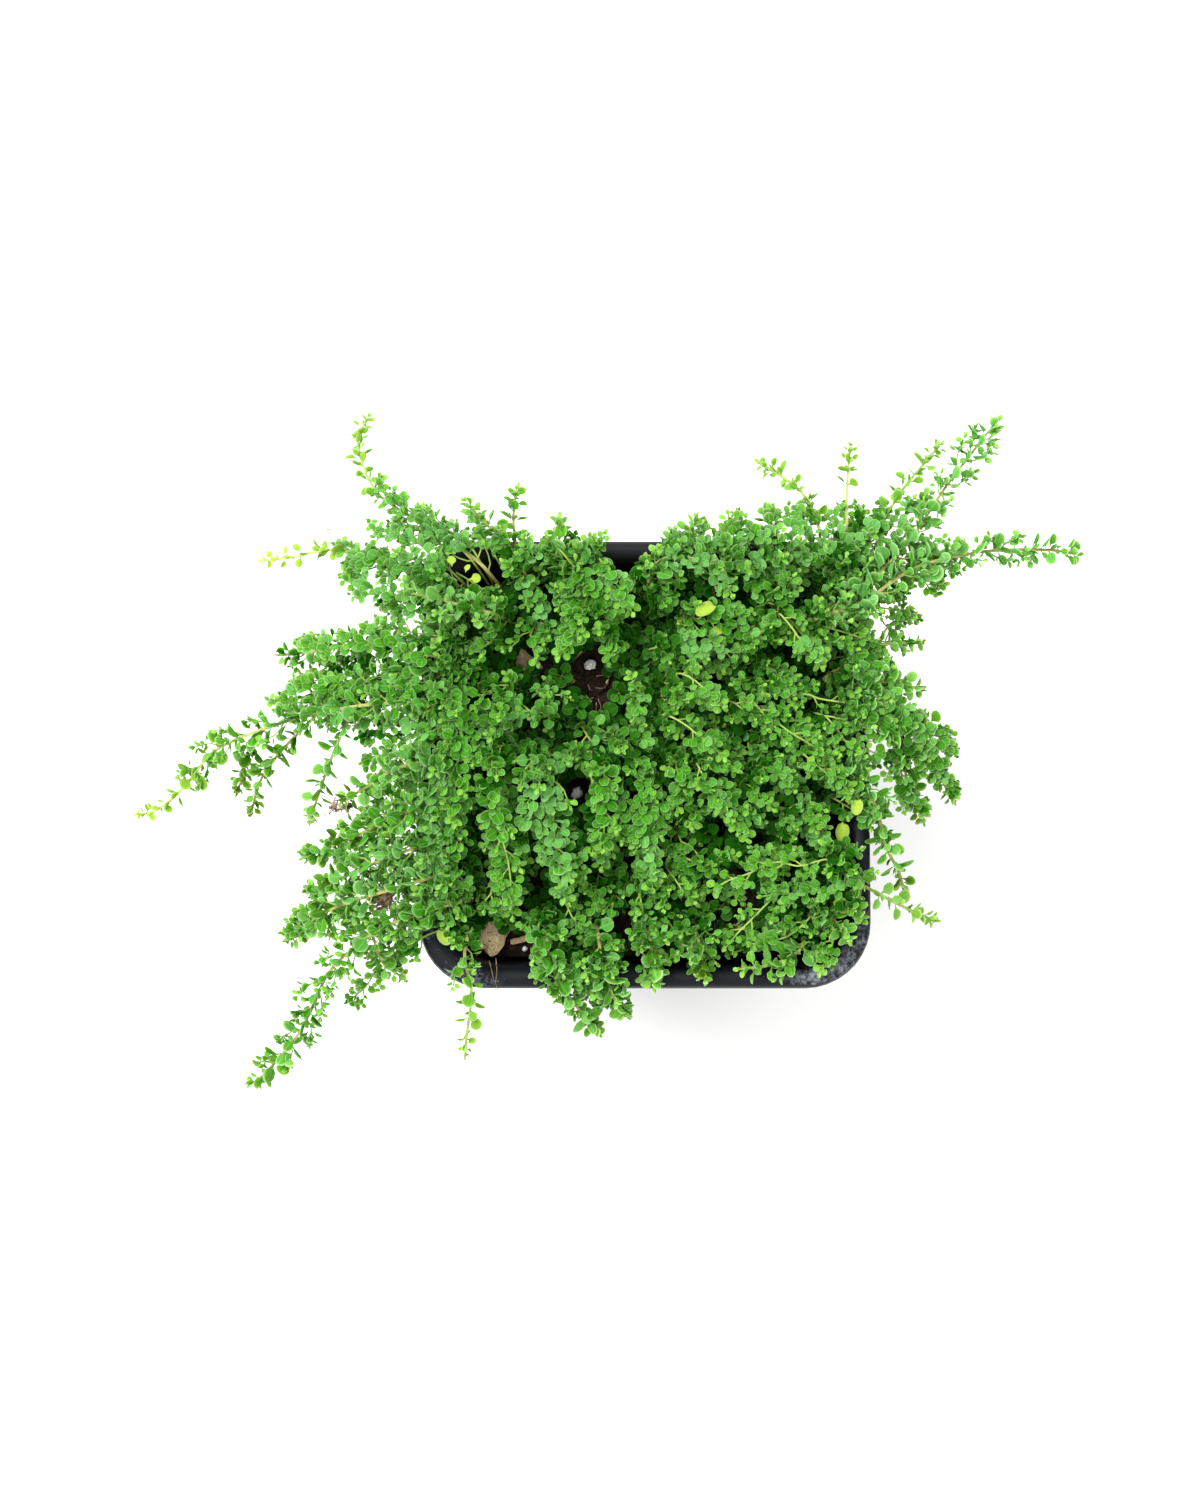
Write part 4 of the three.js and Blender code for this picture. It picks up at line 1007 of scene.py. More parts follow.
def grow_stem(spray, line, scale, thick, habit):
    """A stem and all that grows from it. A hanging one is woody at its root and has larger leaves."""
    sparse_from, pale, tip_age, tip_scale, _ = habit
    spray.tone = chance.uniform(0.1, 0.9) + (0.15 if spray.hanging else 0)
    if spray.hanging:
        spray.add_stem(line, 1.15 * thick, 0.75 * thick, (0.9, 0.35, 0.3, tip_age), pale)
        grow_tip(spray, line, 1.25 * scale * tip_scale, pale)
        grow_pairs(spray, line, 1.45 * scale, spacing=2.1, tufts=0.35, habit=habit)
        grow_shoots(spray, line, 1.15 * scale, every=3.4, longest=6, dip=0.3, sparse_from=sparse_from)
    else:
        spray.add_stem(line, 0.3, 0.2, (0.3, 0))
        grow_tip(spray, line, scale)
        grow_pairs(spray, line, scale, spacing=1.9, tufts=0.3, habit=habit)
        grow_shoots(spray, line, scale, every=2.6, longest=8, dip=0.6)


# A leaf's skin is matt with short hairs, which pale its margin. It is bright yellow green when new, then leaf
# green, and turns bluish with age. The pale margin and the bluish tone are partly the hairs' own colour and
# partly a painted sheen, and fade on old leaves and deep in the mat, where the leaves are painted dark as
# painted shade.
# Where it hangs or has yellowed it pales and loses its hairs. Light spreads a little way through it, and its
# midrib is paler. The hairs are drawn coarser than they are, so that they show.
HAIR = 0.3
LIGHT_SPREAD = (0.6, 1.0, 0.25)
YELLOWED_PALE = 0.75
NEW_LEAF = "78b532"
LEAF_GREEN = "498a18"
OLD_LEAF = "367810"
# Painted shade: the dark green of leaves deep in the mat
SHADE_PAINTED_LEAF = "124600"
# Partly the hairs' bluish bloom, partly a painted sheen on lit leaves
BLUE_LEAF_AND_SHEEN = "6ca65c"
PALE_LEAF = "9ab03c"
# Partly the hairs' own pale margin, partly a painted sheen on lit leaves
HAIR_AND_SHEEN_MARGIN = "b2d898"
leaf_skin, shader = start_material(
    "hairy_thyme_leaf", Roughness=0.6, IOR=1.4, Specular_IOR_Level=0.05, Subsurface_Weight=0.3,
    Subsurface_Scale=1.0, Subsurface_Radius=[reach * MM for reach in LIGHT_SPREAD])
growth = add_node(leaf_skin, "ShaderNodeAttribute", attribute_name="growth")
parts = add_node(leaf_skin, "ShaderNodeSeparateColor", [("Color", growth, "Color")])
by_age = add_node(leaf_skin, "ShaderNodeValToRGB", [("Fac", parts, "Red")])
ages = by_age.color_ramp
ages.elements[0].position, ages.elements[0].color = 0.0, linear(NEW_LEAF)
ages.elements[1].position, ages.elements[1].color = 1.0, linear(SHADE_PAINTED_LEAF)
ages.elements.new(0.35).color = linear(LEAF_GREEN)
ages.elements.new(0.7).color = linear(OLD_LEAF)
bluish = add_node(leaf_skin, "ShaderNodeMapRange", [("Value", parts, "Green")],
                  [("From Min", 0.35), ("From Max", 0.95), ("To Max", 0.85)])
# Painted shade and sheen: from age 0.6 on, the pale margin and bluish tone fade, on old leaves and on leaves
# in painted shade
in_light = add_node(leaf_skin, "ShaderNodeMapRange", [("Value", parts, "Red")],
                    [("From Min", 0.6), ("From Max", 1.0), ("To Min", 1.0), ("To Max", 0.1)])
aged = add_node(leaf_skin, "ShaderNodeMath", [(0, bluish, "Result"), (1, parts, "Red")], operation="MULTIPLY")
aged_in_light = add_node(leaf_skin, "ShaderNodeMath", [(0, aged, "Value"), (1, in_light, "Result")],
                         operation="MULTIPLY")
with_blue = add_node(leaf_skin, "ShaderNodeMix", [("Factor", aged_in_light, "Value"), ("A", by_age, "Color")],
                     [("B", linear(BLUE_LEAF_AND_SHEEN))], data_type="RGBA")
with_yellow = add_node(leaf_skin, "ShaderNodeMix", [("Factor", growth, "Alpha"), ("A", with_blue, "Result")],
                       [("B", linear(PALE_LEAF))], data_type="RGBA")
blade = add_node(leaf_skin, "ShaderNodeAttribute", attribute_name="blade")
sheet = add_node(leaf_skin, "ShaderNodeSeparateXYZ", [("Vector", blade, "Vector")])
across = add_node(leaf_skin, "ShaderNodeMath", [(0, sheet, "Y")], operation="ABSOLUTE")
midrib = add_node(leaf_skin, "ShaderNodeMapRange", [("Value", across, "Value")],
                  [("From Min", 0.015), ("From Max", 0.05), ("To Min", 0.15), ("To Max", 0.0)])
rim = add_node(leaf_skin, "ShaderNodeMapRange", [("Value", parts, "Blue")],
               [("From Min", 0.84), ("From Max", 1.0), ("To Max", 0.6)])
hairy = add_node(leaf_skin, "ShaderNodeMath", [(0, rim, "Result"), (1, midrib, "Result")],
                 operation="MAXIMUM")
balder = add_node(leaf_skin, "ShaderNodeMapRange", [("Value", growth, "Alpha")],
                  [("From Min", 0.0), ("From Max", YELLOWED_PALE), ("To Min", 1.0), ("To Max", 0.2)])
kept_hairs = add_node(leaf_skin, "ShaderNodeMath", [(0, hairy, "Value"), (1, balder, "Result")],
                      operation="MULTIPLY")
lit_hairs = add_node(leaf_skin, "ShaderNodeMath", [(0, kept_hairs, "Value"), (1, in_light, "Result")],
                     operation="MULTIPLY")
with_rim = add_node(leaf_skin, "ShaderNodeMix",
                    [("Factor", lit_hairs, "Value"), ("A", with_yellow, "Result")],
                    [("B", linear(HAIR_AND_SHEEN_MARGIN))], data_type="RGBA")
place = add_node(leaf_skin, "ShaderNodeTexCoord")
hairs = add_node(leaf_skin, "ShaderNodeTexNoise", [("Vector", place, "Object")],
                 [("Scale", 1 / (HAIR * MM)), ("Detail", 2)])
nap = add_node(leaf_skin, "ShaderNodeBump", [("Height", hairs, "Fac")],
               [("Strength", 0.3), ("Distance", 0.05 * MM)])
link(leaf_skin, with_rim, "Result", shader, "Base Color")
link(leaf_skin, nap, "Normal", shader, "Normal")

# A young stem is yellow green and tender. It reddens in the sun and then turns to brown wood.
TENDER_STEM = "769a3c"
REDDENED_STEM = "a08558"
WOODY_STEM = "644a32"
PALE_STEM = "b2c674"
stem_skin, shader = start_material("thyme_stem", Roughness=0.65, IOR=1.45, Specular_IOR_Level=0.2)
growth = add_node(stem_skin, "ShaderNodeAttribute", attribute_name="growth")
parts = add_node(stem_skin, "ShaderNodeSeparateColor", [("Color", growth, "Color")])
by_age = add_node(stem_skin, "ShaderNodeValToRGB", [("Fac", parts, "Red")])
ages = by_age.color_ramp
ages.elements[0].position, ages.elements[0].color = 0.0, linear(TENDER_STEM)
ages.elements[1].position, ages.elements[1].color = 1.0, linear(WOODY_STEM)
ages.elements.new(0.55).color = linear(REDDENED_STEM)
with_pale = add_node(stem_skin, "ShaderNodeMix", [("Factor", growth, "Alpha"), ("A", by_age, "Color")],
                     [("B", linear(PALE_STEM))], data_type="RGBA")
link(stem_skin, with_pale, "Result", shader, "Base Color")

MAIN_RADIUS = 0.5
SIDE_RADIUS = 0.4
SIDE_SCALE = 0.95

for name, (crest, tip, scale, route, *shoots) in SPRAYS.items():
    on_mat = name.startswith("mat_")
    habit = MAT_HABIT if on_mat else HABITS.get(name, USUAL_HABIT)
    spray = Spray(hanging=not on_mat)
    main = main_stem(crest, tip, route)
    grow_stem(spray, main, scale ** 0.5, MAIN_RADIUS, habit)
    for shoot_tip, shoot_route in shoots:
        side_habit = habit if on_mat else SIDE_HABIT
        side = side_stem(main, shoot_tip, shoot_route)
        grow_stem(spray, side, scale ** 0.5 * SIDE_SCALE, SIDE_RADIUS, side_habit)
    spray.shade()
    spray_piece = spray.mesh("spray_" + name)
    finish_piece(spray_piece, "spray_" + name, [leaf_skin, stem_skin], ["thyme_" + name])

# ---- The rooted rows and the low shoots between the sprays ----
# Where a creeping stem touches the soil it roots and sends up new rows, so the mat closes over the pot and
# spills over its rim. Short upright shoots stand under them, whose leaves stay low and hide the soil. Their
# leaves are painted dark green, as painted shade.

# From root to tip as above: the height at the crest and at the tip, the leaves' scale, the route, and between
# which shares of its length a row is bare
ROWS = {
    "back_left": [
        (93, 90, 0.95, [(-30.5, 39.5), (-30.5, 46.5), (-27.5, 41), (-25, 36.5), (-22.5, 32), (-21.5, 28)]),
        (97, 92, 1.15, [(-19.5, 39.5), (-19.5, 47), (-16.5, 43.5), (-12.5, 39), (-10, 35), (-8, 30),
            (-7.5, 25.5)], (0.45, 0.65)),
        (96, 96, 1.2, [(-11, 35.5), (-14.5, 31), (-16.5, 26.5), (-18.5, 23)]),
        (92, 93, 1.05, [(-39.5, 39.5), (-46, 44.5), (-46, 38), (-44.5, 32.5), (-42.5, 26.5)]),
        (92, 93, 1.05, [(-29, 36.5), (-33, 35), (-36.5, 34.5), (-39, 34.5)]),
        (91, 92, 1.0, [(-29, 30.5), (-33, 27.5), (-36, 25.5), (-39, 25)]),
        (90, 90, 1.05, [(-25, 16), (-30.5, 17), (-34.5, 17), (-38.5, 17)]),
        (92, 92, 0.95, [(-37, 23.5), (-41.5, 20.5), (-44.5, 21.5), (-47, 22)]),
        (88, 88, 0.95, [(-16.5, 13.5), (-20, 15), (-22.5, 15.5), (-24.5, 16)]),
        (91, 93, 1.15, [(-17.5, 8.5), (-23.5, 11), (-29.5, 10.5), (-34.5, 8.5), (-38.5, 5)]),
        (93, 94, 1.0, [(-27, 5.5), (-32, 3), (-36, 1.5), (-39.5, 0.5)]),
        (92, 94, 1.0, [(-35.5, 14), (-40, 10.5), (-43, 7)]),
        (90, 90, 0.85, [(-19, 5), (-17, 3), (-15.5, 1)]),
        (90, 90, 0.9, [(-39.5, 39.5), (-42.5, 42.5), (-39, 40.5), (-35.5, 38), (-33, 35)]),
        (92, 92, 1.0, [(-39, 31.5), (-42, 28.5), (-45, 27)]),
        (92, 92, 1.0, [(-32, 22.5), (-36, 20.5), (-40, 19.5)]),
        (97, 97, 1.1, [(-10, 39.5), (-10, 44), (-7.5, 40.5), (-5, 36.5), (-3, 32.5)]),
        (96, 94, 1.0, [(-12, 39.5), (-12, 46), (-14.5, 42), (-17, 37.5), (-19, 34)]),
    ],
    "back_right": [
        (95, 96, 1.0, [(-2, 41), (4, 45), (7.5, 47.5), (10, 50.5)], (0.1, 0.8)),
        (97, 97, 0.95, [(9.5, 39.5), (9.5, 45), (13, 43), (15, 41.5), (17.5, 39), (19, 36.5)], (0.1, 0.7)),
        (97, 97, 1.0, [(18.5, 29), (23, 27.5), (27, 26.5), (29, 26)], (0.1, 0.7)),
        (93, 93, 1.0, [(-1.5, 25.5), (3.5, 25.5), (10, 25), (16.5, 24.5), (22.5, 23.5)], (0.25, 0.5)),
        (98, 97, 1.0, [(26, 36), (30, 31.5), (32.5, 28.5), (34.5, 25.5), (37, 22.5),
            (38.5, 20.5)], (0.25, 0.8)),
        (96, 94, 1.0, [(34, 31), (38.5, 29.5), (42.5, 28.5), (47.5, 27), (50.5, 26.5)], (0.3, 0.9)),
        (96, 96, 1.05, [(3.5, 21), (9, 18.5), (12, 16.5), (14.5, 13.5), (17, 11.5)], (0.5, 0.8)),
        (94, 93, 1.0, [(16, 16), (20.5, 12), (23.5, 9.5)], (0.3, 0.8)),
        (95, 95, 0.9, [(19.5, 17), (24, 12.5), (26.5, 9.5), (28.5, 7)], (0.2, 0.85)),
        (95, 94, 0.95, [(25, 12), (28.5, 8.5), (32.5, 5.5), (34.5, 4.5), (37.5, 2.5),
            (40, 0.5)], (0.2, 0.85)),
        (95, 95, 1.0, [(0.5, 12), (5.5, 9.5), (9, 7.5), (12, 5), (14.5, 3.5), (17, 0.5)], (0.55, 0.8)),
        (94, 92, 0.95, [(31, 16.5), (36, 14.5), (38.5, 13.5), (42, 13), (46, 12.5), (50, 12)], (0.3, 0.9)),
        (94, 93, 0.9, [(35.5, 12.5), (39.5, 10), (42.5, 6.5), (45, 3), (48, 1)], (0.3, 0.7)),
        (94, 95, 1.05, [(-1, 32), (1.5, 34.5), (4, 37), (5, 40)]),
        (94, 96, 1.1, [(12, 39.5), (12, 47), (18, 48.5), (23.5, 49.5), (30, 50.5)]),
        (95, 94, 1.1, [(20.5, 37), (20.5, 42.5), (27, 44), (33.5, 45), (40.5, 46), (47.5, 46)]),
        (94, 93, 1.05, [(20, 35), (23.5, 37.5), (28, 39.5), (32, 40.5)]),
        (93, 94, 1.0, [(-1, 19.5), (-0.5, 15.5), (-1.5, 12), (-2.5, 9)]),
        (94, 94, 1.1, [(10, 41), (7, 37.5), (4, 34.5)]),
        (96, 96, 1.15, [(27.5, 40.5), (31, 39), (33.5, 38)]),
        (92, 90, 1.05, [(39.5, 39.5), (46, 45), (47.5, 40.5), (48, 34.5), (49, 30.5)]),
        (92, 92, 1.0, [(12, 30), (16, 33), (18.5, 36)]),
        (91, 91, 1.0, [(20.5, 22), (24, 22.5), (27.5, 21.5), (31, 20)]),
        (92, 90, 1.0, [(39.5, 28.5), (45.5, 28.5), (47, 23.5), (48, 18), (48, 13.5)]),
        (90, 89, 1.0, [(5, 27), (8.5, 30), (11.5, 29)]),
        (91, 91, 1.0, [(21.5, 16), (25, 17.5), (29.5, 18), (33.5, 17)]),
    ],
    "front_left": [
        (96, 91, 1.15, [(-31.5, 4.5), (-33.5, -1), (-34, -7), (-32.5, -13.5), (-31, -19), (-30, -23),
            (-29.5, -27.5), (-29.5, -31.5)], (0.74, 0.9)),
        (94, 92, 1.15, [(-25.5, 5.5), (-25, -1.5), (-24.5, -8), (-26, -14.5), (-27.5, -19)]),
        (90, 88, 1.0, [(-19, 3.5), (-19.5, -1.5), (-19.5, -7.5), (-18.5, -14), (-18.5, -21)]),
        (95, 94, 1.1, [(-8.5, 3.5), (-9, -3), (-9, -9.5), (-9, -16), (-9, -19.5)]),
        (93, 90, 1.0, [(-1, 4), (-1, -2), (-0.5, -8), (0, -13.5), (0.5, -20), (-0.5, -25.5)]),
        (89, 88, 0.95, [(-18, -22), (-17.5, -27.5), (-17, -32.5), (-15, -36.5), (-13.5, -40)], (0.6, 0.8)),
        (90, 89, 0.95, [(-34, -24), (-34, -29), (-33.5, -32), (-33, -34)], (0.4, 0.8)),
        (94, 92, 1.1, [(-39.5, 1), (-44, 1), (-46.5, -6.5), (-47.5, -13.5), (-47, -20), (-45.5, -26.5),
            (-45, -32)]),
        (93, 91, 1.05, [(-40, -3.5), (-41.5, -10.5), (-42.5, -17.5), (-41.5, -24.5), (-40.5, -30)]),
        (91, 89, 1.0, [(-22.5, -30.5), (-23.5, -37.5), (-23, -44), (-24, -48)]),
        (89, 89, 0.85, [(-36.5, -19.5), (-38, -21.5), (-39.5, -23)]),
        (89, 90, 1.0, [(-10.5, -37.5), (-9, -43), (-10, -47.5)]),
        (89, 89, 0.95, [(-3, -24), (-1, -30.5), (0.5, -39), (2, -45.5)]),
        (90, 90, 0.95, [(-15.5, -41.5), (-17, -45), (-18, -49)]),
        (91, 90, 1.0, [(-39.5, -27.5), (-50, -27.5), (-48.5, -31), (-47.5, -35)]),
        (90, 89, 1.0, [(-27.5, -20), (-29, -24.5), (-30, -28.5)]),
        (92, 91, 1.1, [(-13, 1), (-11.5, -5.5), (-11.5, -12), (-11.5, -20)]),
        (88, 87, 1.0, [(-10, -22.5), (-11, -28.5), (-12, -34)]),
        (92, 91, 1.0, [(-4.5, 1), (-5, -5.5), (-4.5, -12), (-4, -17.5)]),
        (90, 90, 1.05, [(-37, -28.5), (-39, -31), (-40.5, -33.5)]),
        (87, 87, 0.9, [(-6, -26), (-7, -31.5), (-8.5, -36)]),
        (90, 89, 1.0, [(-15.5, -15.5), (-15, -22), (-14.5, -27.5)]),
    ],
    "front_right": [
        (93, 93, 1.0, [(6, 5), (7, -2), (7.5, -7.5), (7, -11)]),
        (94, 93, 0.95, [(9.5, 3.5), (12, -2), (14.5, -7), (17, -10), (19, -13)], (0.5, 0.65)),
        (94, 93, 0.95, [(21.5, 0.5), (26, -1.5), (29.5, -3.5), (32.5, -6.5)]),
        (91, 91, 0.95, [(20, -13.5), (23, -12.5), (26, -13.5)]),
        (91, 92, 0.95, [(28, -19.5), (31, -16.5), (33.5, -14.5)]),
        (93, 91, 1.1, [(39.5, -22.5), (45.5, -22.5), (39.5, -22), (34, -23.5), (28.5, -22.5), (23, -25),
            (18.5, -26.5), (15, -28.5)], (0.45, 0.95)),
        (92, 91, 1.0, [(39.5, -27.5), (47.5, -27.5), (43, -28), (39, -28.5), (34, -29.5), (29.5, -29.5),
            (26, -30)]),
        (91, 90, 0.95, [(32, -27), (27, -31.5), (25, -33.5), (22, -36.5), (20, -38.5),
            (18, -41)], (0.3, 0.9)),
        (91, 91, 1.0, [(41, -31.5), (34.5, -36.5), (31, -39), (26.5, -40), (23.5, -40.5)], (0.4, 0.8)),
        (90, 91, 0.95, [(37, -38.5), (42, -38.5), (40, -43.5), (38.5, -46.5)]),
        (90, 90, 0.95, [(3, -21), (6.5, -26), (8.5, -29), (10.5, -31)], (0.4, 0.8)),
        (90, 90, 0.95, [(9.5, -20), (13, -23), (16.5, -22.5), (20, -21)]),
        (88, 88, 0.95, [(1, -30), (4.5, -34.5), (7.5, -38.5), (11.5, -41.5)]),
        (89, 90, 1.0, [(12, -37), (12.5, -41), (13, -46)]),
        (89, 90, 1.0, [(3.5, -39), (4, -43.5), (3.5, -47)]),
        (92, 92, 1.3, [(37, -20), (40.5, -21), (44, -22.5)]),
        (92, 91, 1.0, [(33.5, -8), (37, -11.5), (40, -15.5)]),
        (92, 92, 0.95, [(18.5, -3), (23, -5.5), (26.5, -8.5), (28, -10.5)]),
        (94, 93, 1.0, [(31, 4), (34.5, 1.5), (37.5, -1), (40.5, -3.5), (43.5, -5.5), (45, -8.5)], (0.2, 0.8)),
        (91, 91, 1.0, [(12, -6), (11.5, -10), (10.5, -14.5)]),
        (91, 90, 1.0, [(2, 1), (3.5, -5), (4, -10), (4, -15)]),
        (90, 90, 1.0, [(21.5, -20), (24.5, -21.5), (28, -20)]),
        (91, 91, 1.0, [(34, -18), (35.5, -21), (37, -24.5)]),
        (90, 90, 1.0, [(34, -32), (37.5, -34), (40.5, -36.5)]),
        (88, 88, 0.9, [(19, -37), (19, -43), (21, -41.5), (23.5, -42.5)]),
        (91, 90, 1.0, [(39.5, -31), (44, -31), (46.5, -32.5), (48, -35)]),
        (89, 90, 0.95, [(7.5, -37), (7.5, -42), (10, -44), (11, -46.5)]),
        (92, 90, 0.95, [(39.5, -3.5), (45.5, -3.5), (46.5, -7.5), (47, -12)]),
        (90, 90, 1.0, [(2, -23.5), (3.5, -28), (4, -32.5)]),
        (90, 90, 1.0, [(27.5, -35.5), (30.5, -35), (33.5, -34)]),
    ],
    "left_rim": [
        (93, 88, 1.05, [(-37, 25.5), (-42.5, 25.5), (-48.5, 25.5), (-54.5, 25), (-59, 23.5), (-64, 22.5)]),
        (92, 84, 1.05, [(-37, 21.5), (-43, 21.5), (-49, 21), (-54.5, 19.5), (-60, 19), (-66, 18.5),
            (-71, 20)]),
        (93, 83, 1.05, [(-37, 16), (-42.5, 16), (-48.5, 15.5), (-54, 14), (-60, 13), (-66, 12.5),
            (-72.5, 14.5)]),
        (93, 85, 1.05, [(-37, 10.5), (-42.5, 10.5), (-48.5, 10), (-54, 8.5), (-59, 7.5), (-63.5, 6)]),
        (93, 86, 1.1, [(-37, 5), (-42.5, 5), (-48.5, 4.5), (-53, 2.5), (-57.5, 1), (-62.5, 0)]),
        (93, 85, 1.1, [(-37, -0.5), (-42.5, -0.5), (-48.5, -1), (-53.5, -3), (-58, -4.5), (-62.5, -6)]),
        (93, 84, 1.1, [(-37, -6), (-42.5, -6), (-48.5, -6.5), (-53, -8.5), (-57.5, -10), (-63, -11.5)]),
        (92, 82, 1.0, [(-37, -11), (-42.5, -11), (-48.5, -12), (-53, -13.5), (-58, -15.5), (-64, -17),
            (-70, -17)]),
        (92, 81, 1.0, [(-37, -16.5), (-42.5, -16.5), (-48.5, -17.5), (-53.5, -19.5), (-58.5, -21),
            (-65, -20.5), (-71.5, -19.5), (-76.5, -19.5)]),
        (92, 84, 1.05, [(-37, -21.5), (-42.5, -21.5), (-48.5, -22.5), (-53, -24.5), (-57.5, -26),
            (-64, -26.5)]),
        (92, 82, 1.0, [(-37, -26.5), (-42.5, -26.5), (-48.5, -27.5), (-54, -28.5), (-61, -29), (-67.5, -28.5),
            (-75, -27.5)]),
        (92, 80, 1.0, [(-37, -31), (-42.5, -31), (-47.5, -31.5), (-53.5, -33.5), (-60, -35.5), (-66.5, -34),
            (-73, -32), (-78, -33.5)]),
        (91, 80, 0.95, [(-39.5, -33.5), (-43.5, -33.5), (-49.5, -35.5), (-55.5, -37.5), (-62, -38.5),
            (-68.5, -37), (-75.5, -36.5), (-80.5, -37.5)]),
        (91, 79, 1.0, [(-39.5, -35.5), (-43.5, -35.5), (-50.5, -37.5), (-55, -40.5), (-58.5, -44),
            (-62, -49.5), (-66, -52.5)]),
        (91, 82, 0.9, [(-39.5, -37), (-43.5, -37), (-49, -39), (-53, -42.5), (-57, -44.5)]),
        (93, 88, 0.9, [(-37, 27.5), (-43, 27.5), (-48.5, 28), (-53, 29), (-57, 30), (-59.5, 32)], (0.4, 0.8)),
        (95, 88, 1.1, [(-41.5, 22), (-47.5, 23), (-52.5, 23), (-56.5, 25.5), (-61, 26.5), (-65.5, 26),
            (-71, 25.5), (-77, 26.5)]),
        (95, 86, 1.1, [(-37, 13), (-42, 13), (-48, 15), (-53.5, 16.5), (-59, 15.5), (-65.5, 15.5),
            (-72.5, 16.5), (-78, 18)]),
        (94, 84, 1.0, [(-37, 4), (-42.5, 4), (-49, 7), (-55, 9), (-62, 9.5), (-69, 10.5), (-77, 12),
            (-84, 14.5)]),
    ],
    "back_left_rim": [
        (94, 90, 1.0, [(-37, 35.5), (-42, 35.5), (-47.5, 35.5), (-51.5, 35.5), (-55.5, 36.5), (-59.5, 38),
            (-63.5, 39.5), (-67.5, 41)]),
        (94, 90, 1.0, [(-41.5, 38), (-47, 40.5), (-51.5, 42), (-56, 44), (-60.5, 45.5), (-65.5, 46.5),
            (-69, 48.5)]),
        (94, 91, 1.0, [(-41.5, 37), (-47, 39), (-51.5, 41.5), (-56, 43), (-60, 44.5), (-63.5, 43.5),
            (-67, 42)], (0.2, 0.5)),
        (93, 88, 1.0, [(-37, 32), (-42, 32), (-49, 33), (-53.5, 34.5), (-57, 35.5), (-59, 35.5)]),
        (95, 92, 1.0, [(-40.5, 38.5), (-46, 43), (-49, 47), (-52, 49), (-55.5, 50), (-59, 51.5), (-61, 53)]),
        (95, 92, 1.0, [(-34.5, 40), (-40.5, 46.5), (-45.5, 50), (-49.5, 51), (-53.5, 52), (-56.5, 53)]),
        (95, 93, 1.0, [(-34.5, 41), (-39, 47.5), (-44.5, 51), (-48, 53), (-52.5, 55.5), (-56, 57.5),
            (-58.5, 60), (-59, 63)]),
        (95, 96, 1.0, [(-31, 41.5), (-34, 46.5), (-36, 50), (-37.5, 52.5), (-39, 55.5)]),
        (95, 95, 1.0, [(-27.5, 41.5), (-29.5, 46.5), (-30.5, 48.5), (-32, 51)]),
        (95, 96, 1.05, [(-23, 40), (-24.5, 44), (-25.5, 47), (-26.5, 48.5)]),
    ],
    "back_rim": [
        (95, 95, 1.1, [(-19, 41.5), (-18.5, 47), (-17.5, 50), (-19, 52)]),
        (95, 95, 1.1, [(-14.5, 41), (-13.5, 46.5), (-12.5, 49)]),
        (96, 94, 1.0, [(7.5, 41.5), (7, 47), (6, 50.5)]),
        (96, 94, 1.05, [(13.5, 37), (13.5, 42), (12.5, 47.5), (12, 51), (11.5, 53.5)]),
        (96, 94, 1.05, [(20, 37), (20, 42), (19.5, 48), (20, 52), (20.5, 55)]),
        (95, 92, 1.05, [(26.5, 37), (26.5, 42), (26.5, 48.5), (27.5, 52.5), (28.5, 56)]),
        (95, 92, 1.05, [(32, 41.5), (32.5, 48.5), (33.5, 53), (34.5, 56.5)]),
        (95, 92, 1.05, [(37.5, 41), (37.5, 47.5), (37, 51.5), (36.5, 55.5)]),
    ],
    "right_rim": [
        (94, 92, 1.0, [(41.5, 41.5), (47.5, 47), (53.5, 48.5), (57.5, 48), (62, 47.5), (66.5, 46.5),
            (71, 46)]),
        (94, 90, 1.05, [(41, 40), (48, 43.5), (54.5, 44.5), (59.5, 45), (64.5, 44.5), (69, 42.5)]),
        (94, 90, 1.05, [(41, 37.5), (48, 39.5), (54, 42), (57.5, 41.5), (62.5, 40.5), (66.5, 40)]),
        (95, 92, 1.0, [(39.5, 39.5), (41.5, 43), (48, 50), (53, 52), (58, 54.5), (60.5, 57), (63.5, 59.5)]),
        (94, 91, 1.0, [(39.5, 37), (41, 42.5), (47.5, 49.5), (52, 54), (53, 58)]),
        (93, 88, 1.0, [(41, 35.5), (47.5, 36.5), (53.5, 37.5), (58, 38)]),
        (93, 86, 0.9, [(41, 34), (48, 34.5), (53.5, 34), (57.5, 33.5), (61, 32.5)], (0.5, 0.8)),
        (93, 86, 0.9, [(41, 28), (48, 27), (52, 26.5), (55.5, 27), (59.5, 27)], (0.4, 0.8)),
        (93, 88, 1.0, [(41, 24), (48, 23.5), (52.5, 24.5)]),
        (93, 88, 1.0, [(41, 21), (48, 20.5), (53, 20), (56, 16)]),
        (93, 86, 1.05, [(41, 17.5), (48, 16.5), (52.5, 14.5), (55.5, 12.5), (59, 10), (62.5, 8)]),
        (93, 85, 1.05, [(41, 13.5), (48, 12.5), (53.5, 10.5), (57.5, 7), (61.5, 5), (67, 4.5), (69, 2.5)]),
        (93, 86, 1.0, [(41, 10.5), (48, 9), (53.5, 6.5), (57, 3.5), (58, -0.5)]),
        (92, 80, 1.0, [(41.5, 12.5), (48.5, 11), (54.5, 8.5), (57.5, 3.5), (57, -1.5), (59, -7),
            (63, -10.5)]),
        (92, 82, 0.95, [(41.5, 15), (48.5, 13.5), (56.5, 10.5), (63, 6), (64.5, 1.5), (66.5, -3.5),
            (69.5, -6.5)]),
        (92, 86, 1.0, [(40.5, 6.5), (47, 3.5), (51.5, 1.5), (55.5, 0)], (0.4, 0.8)),
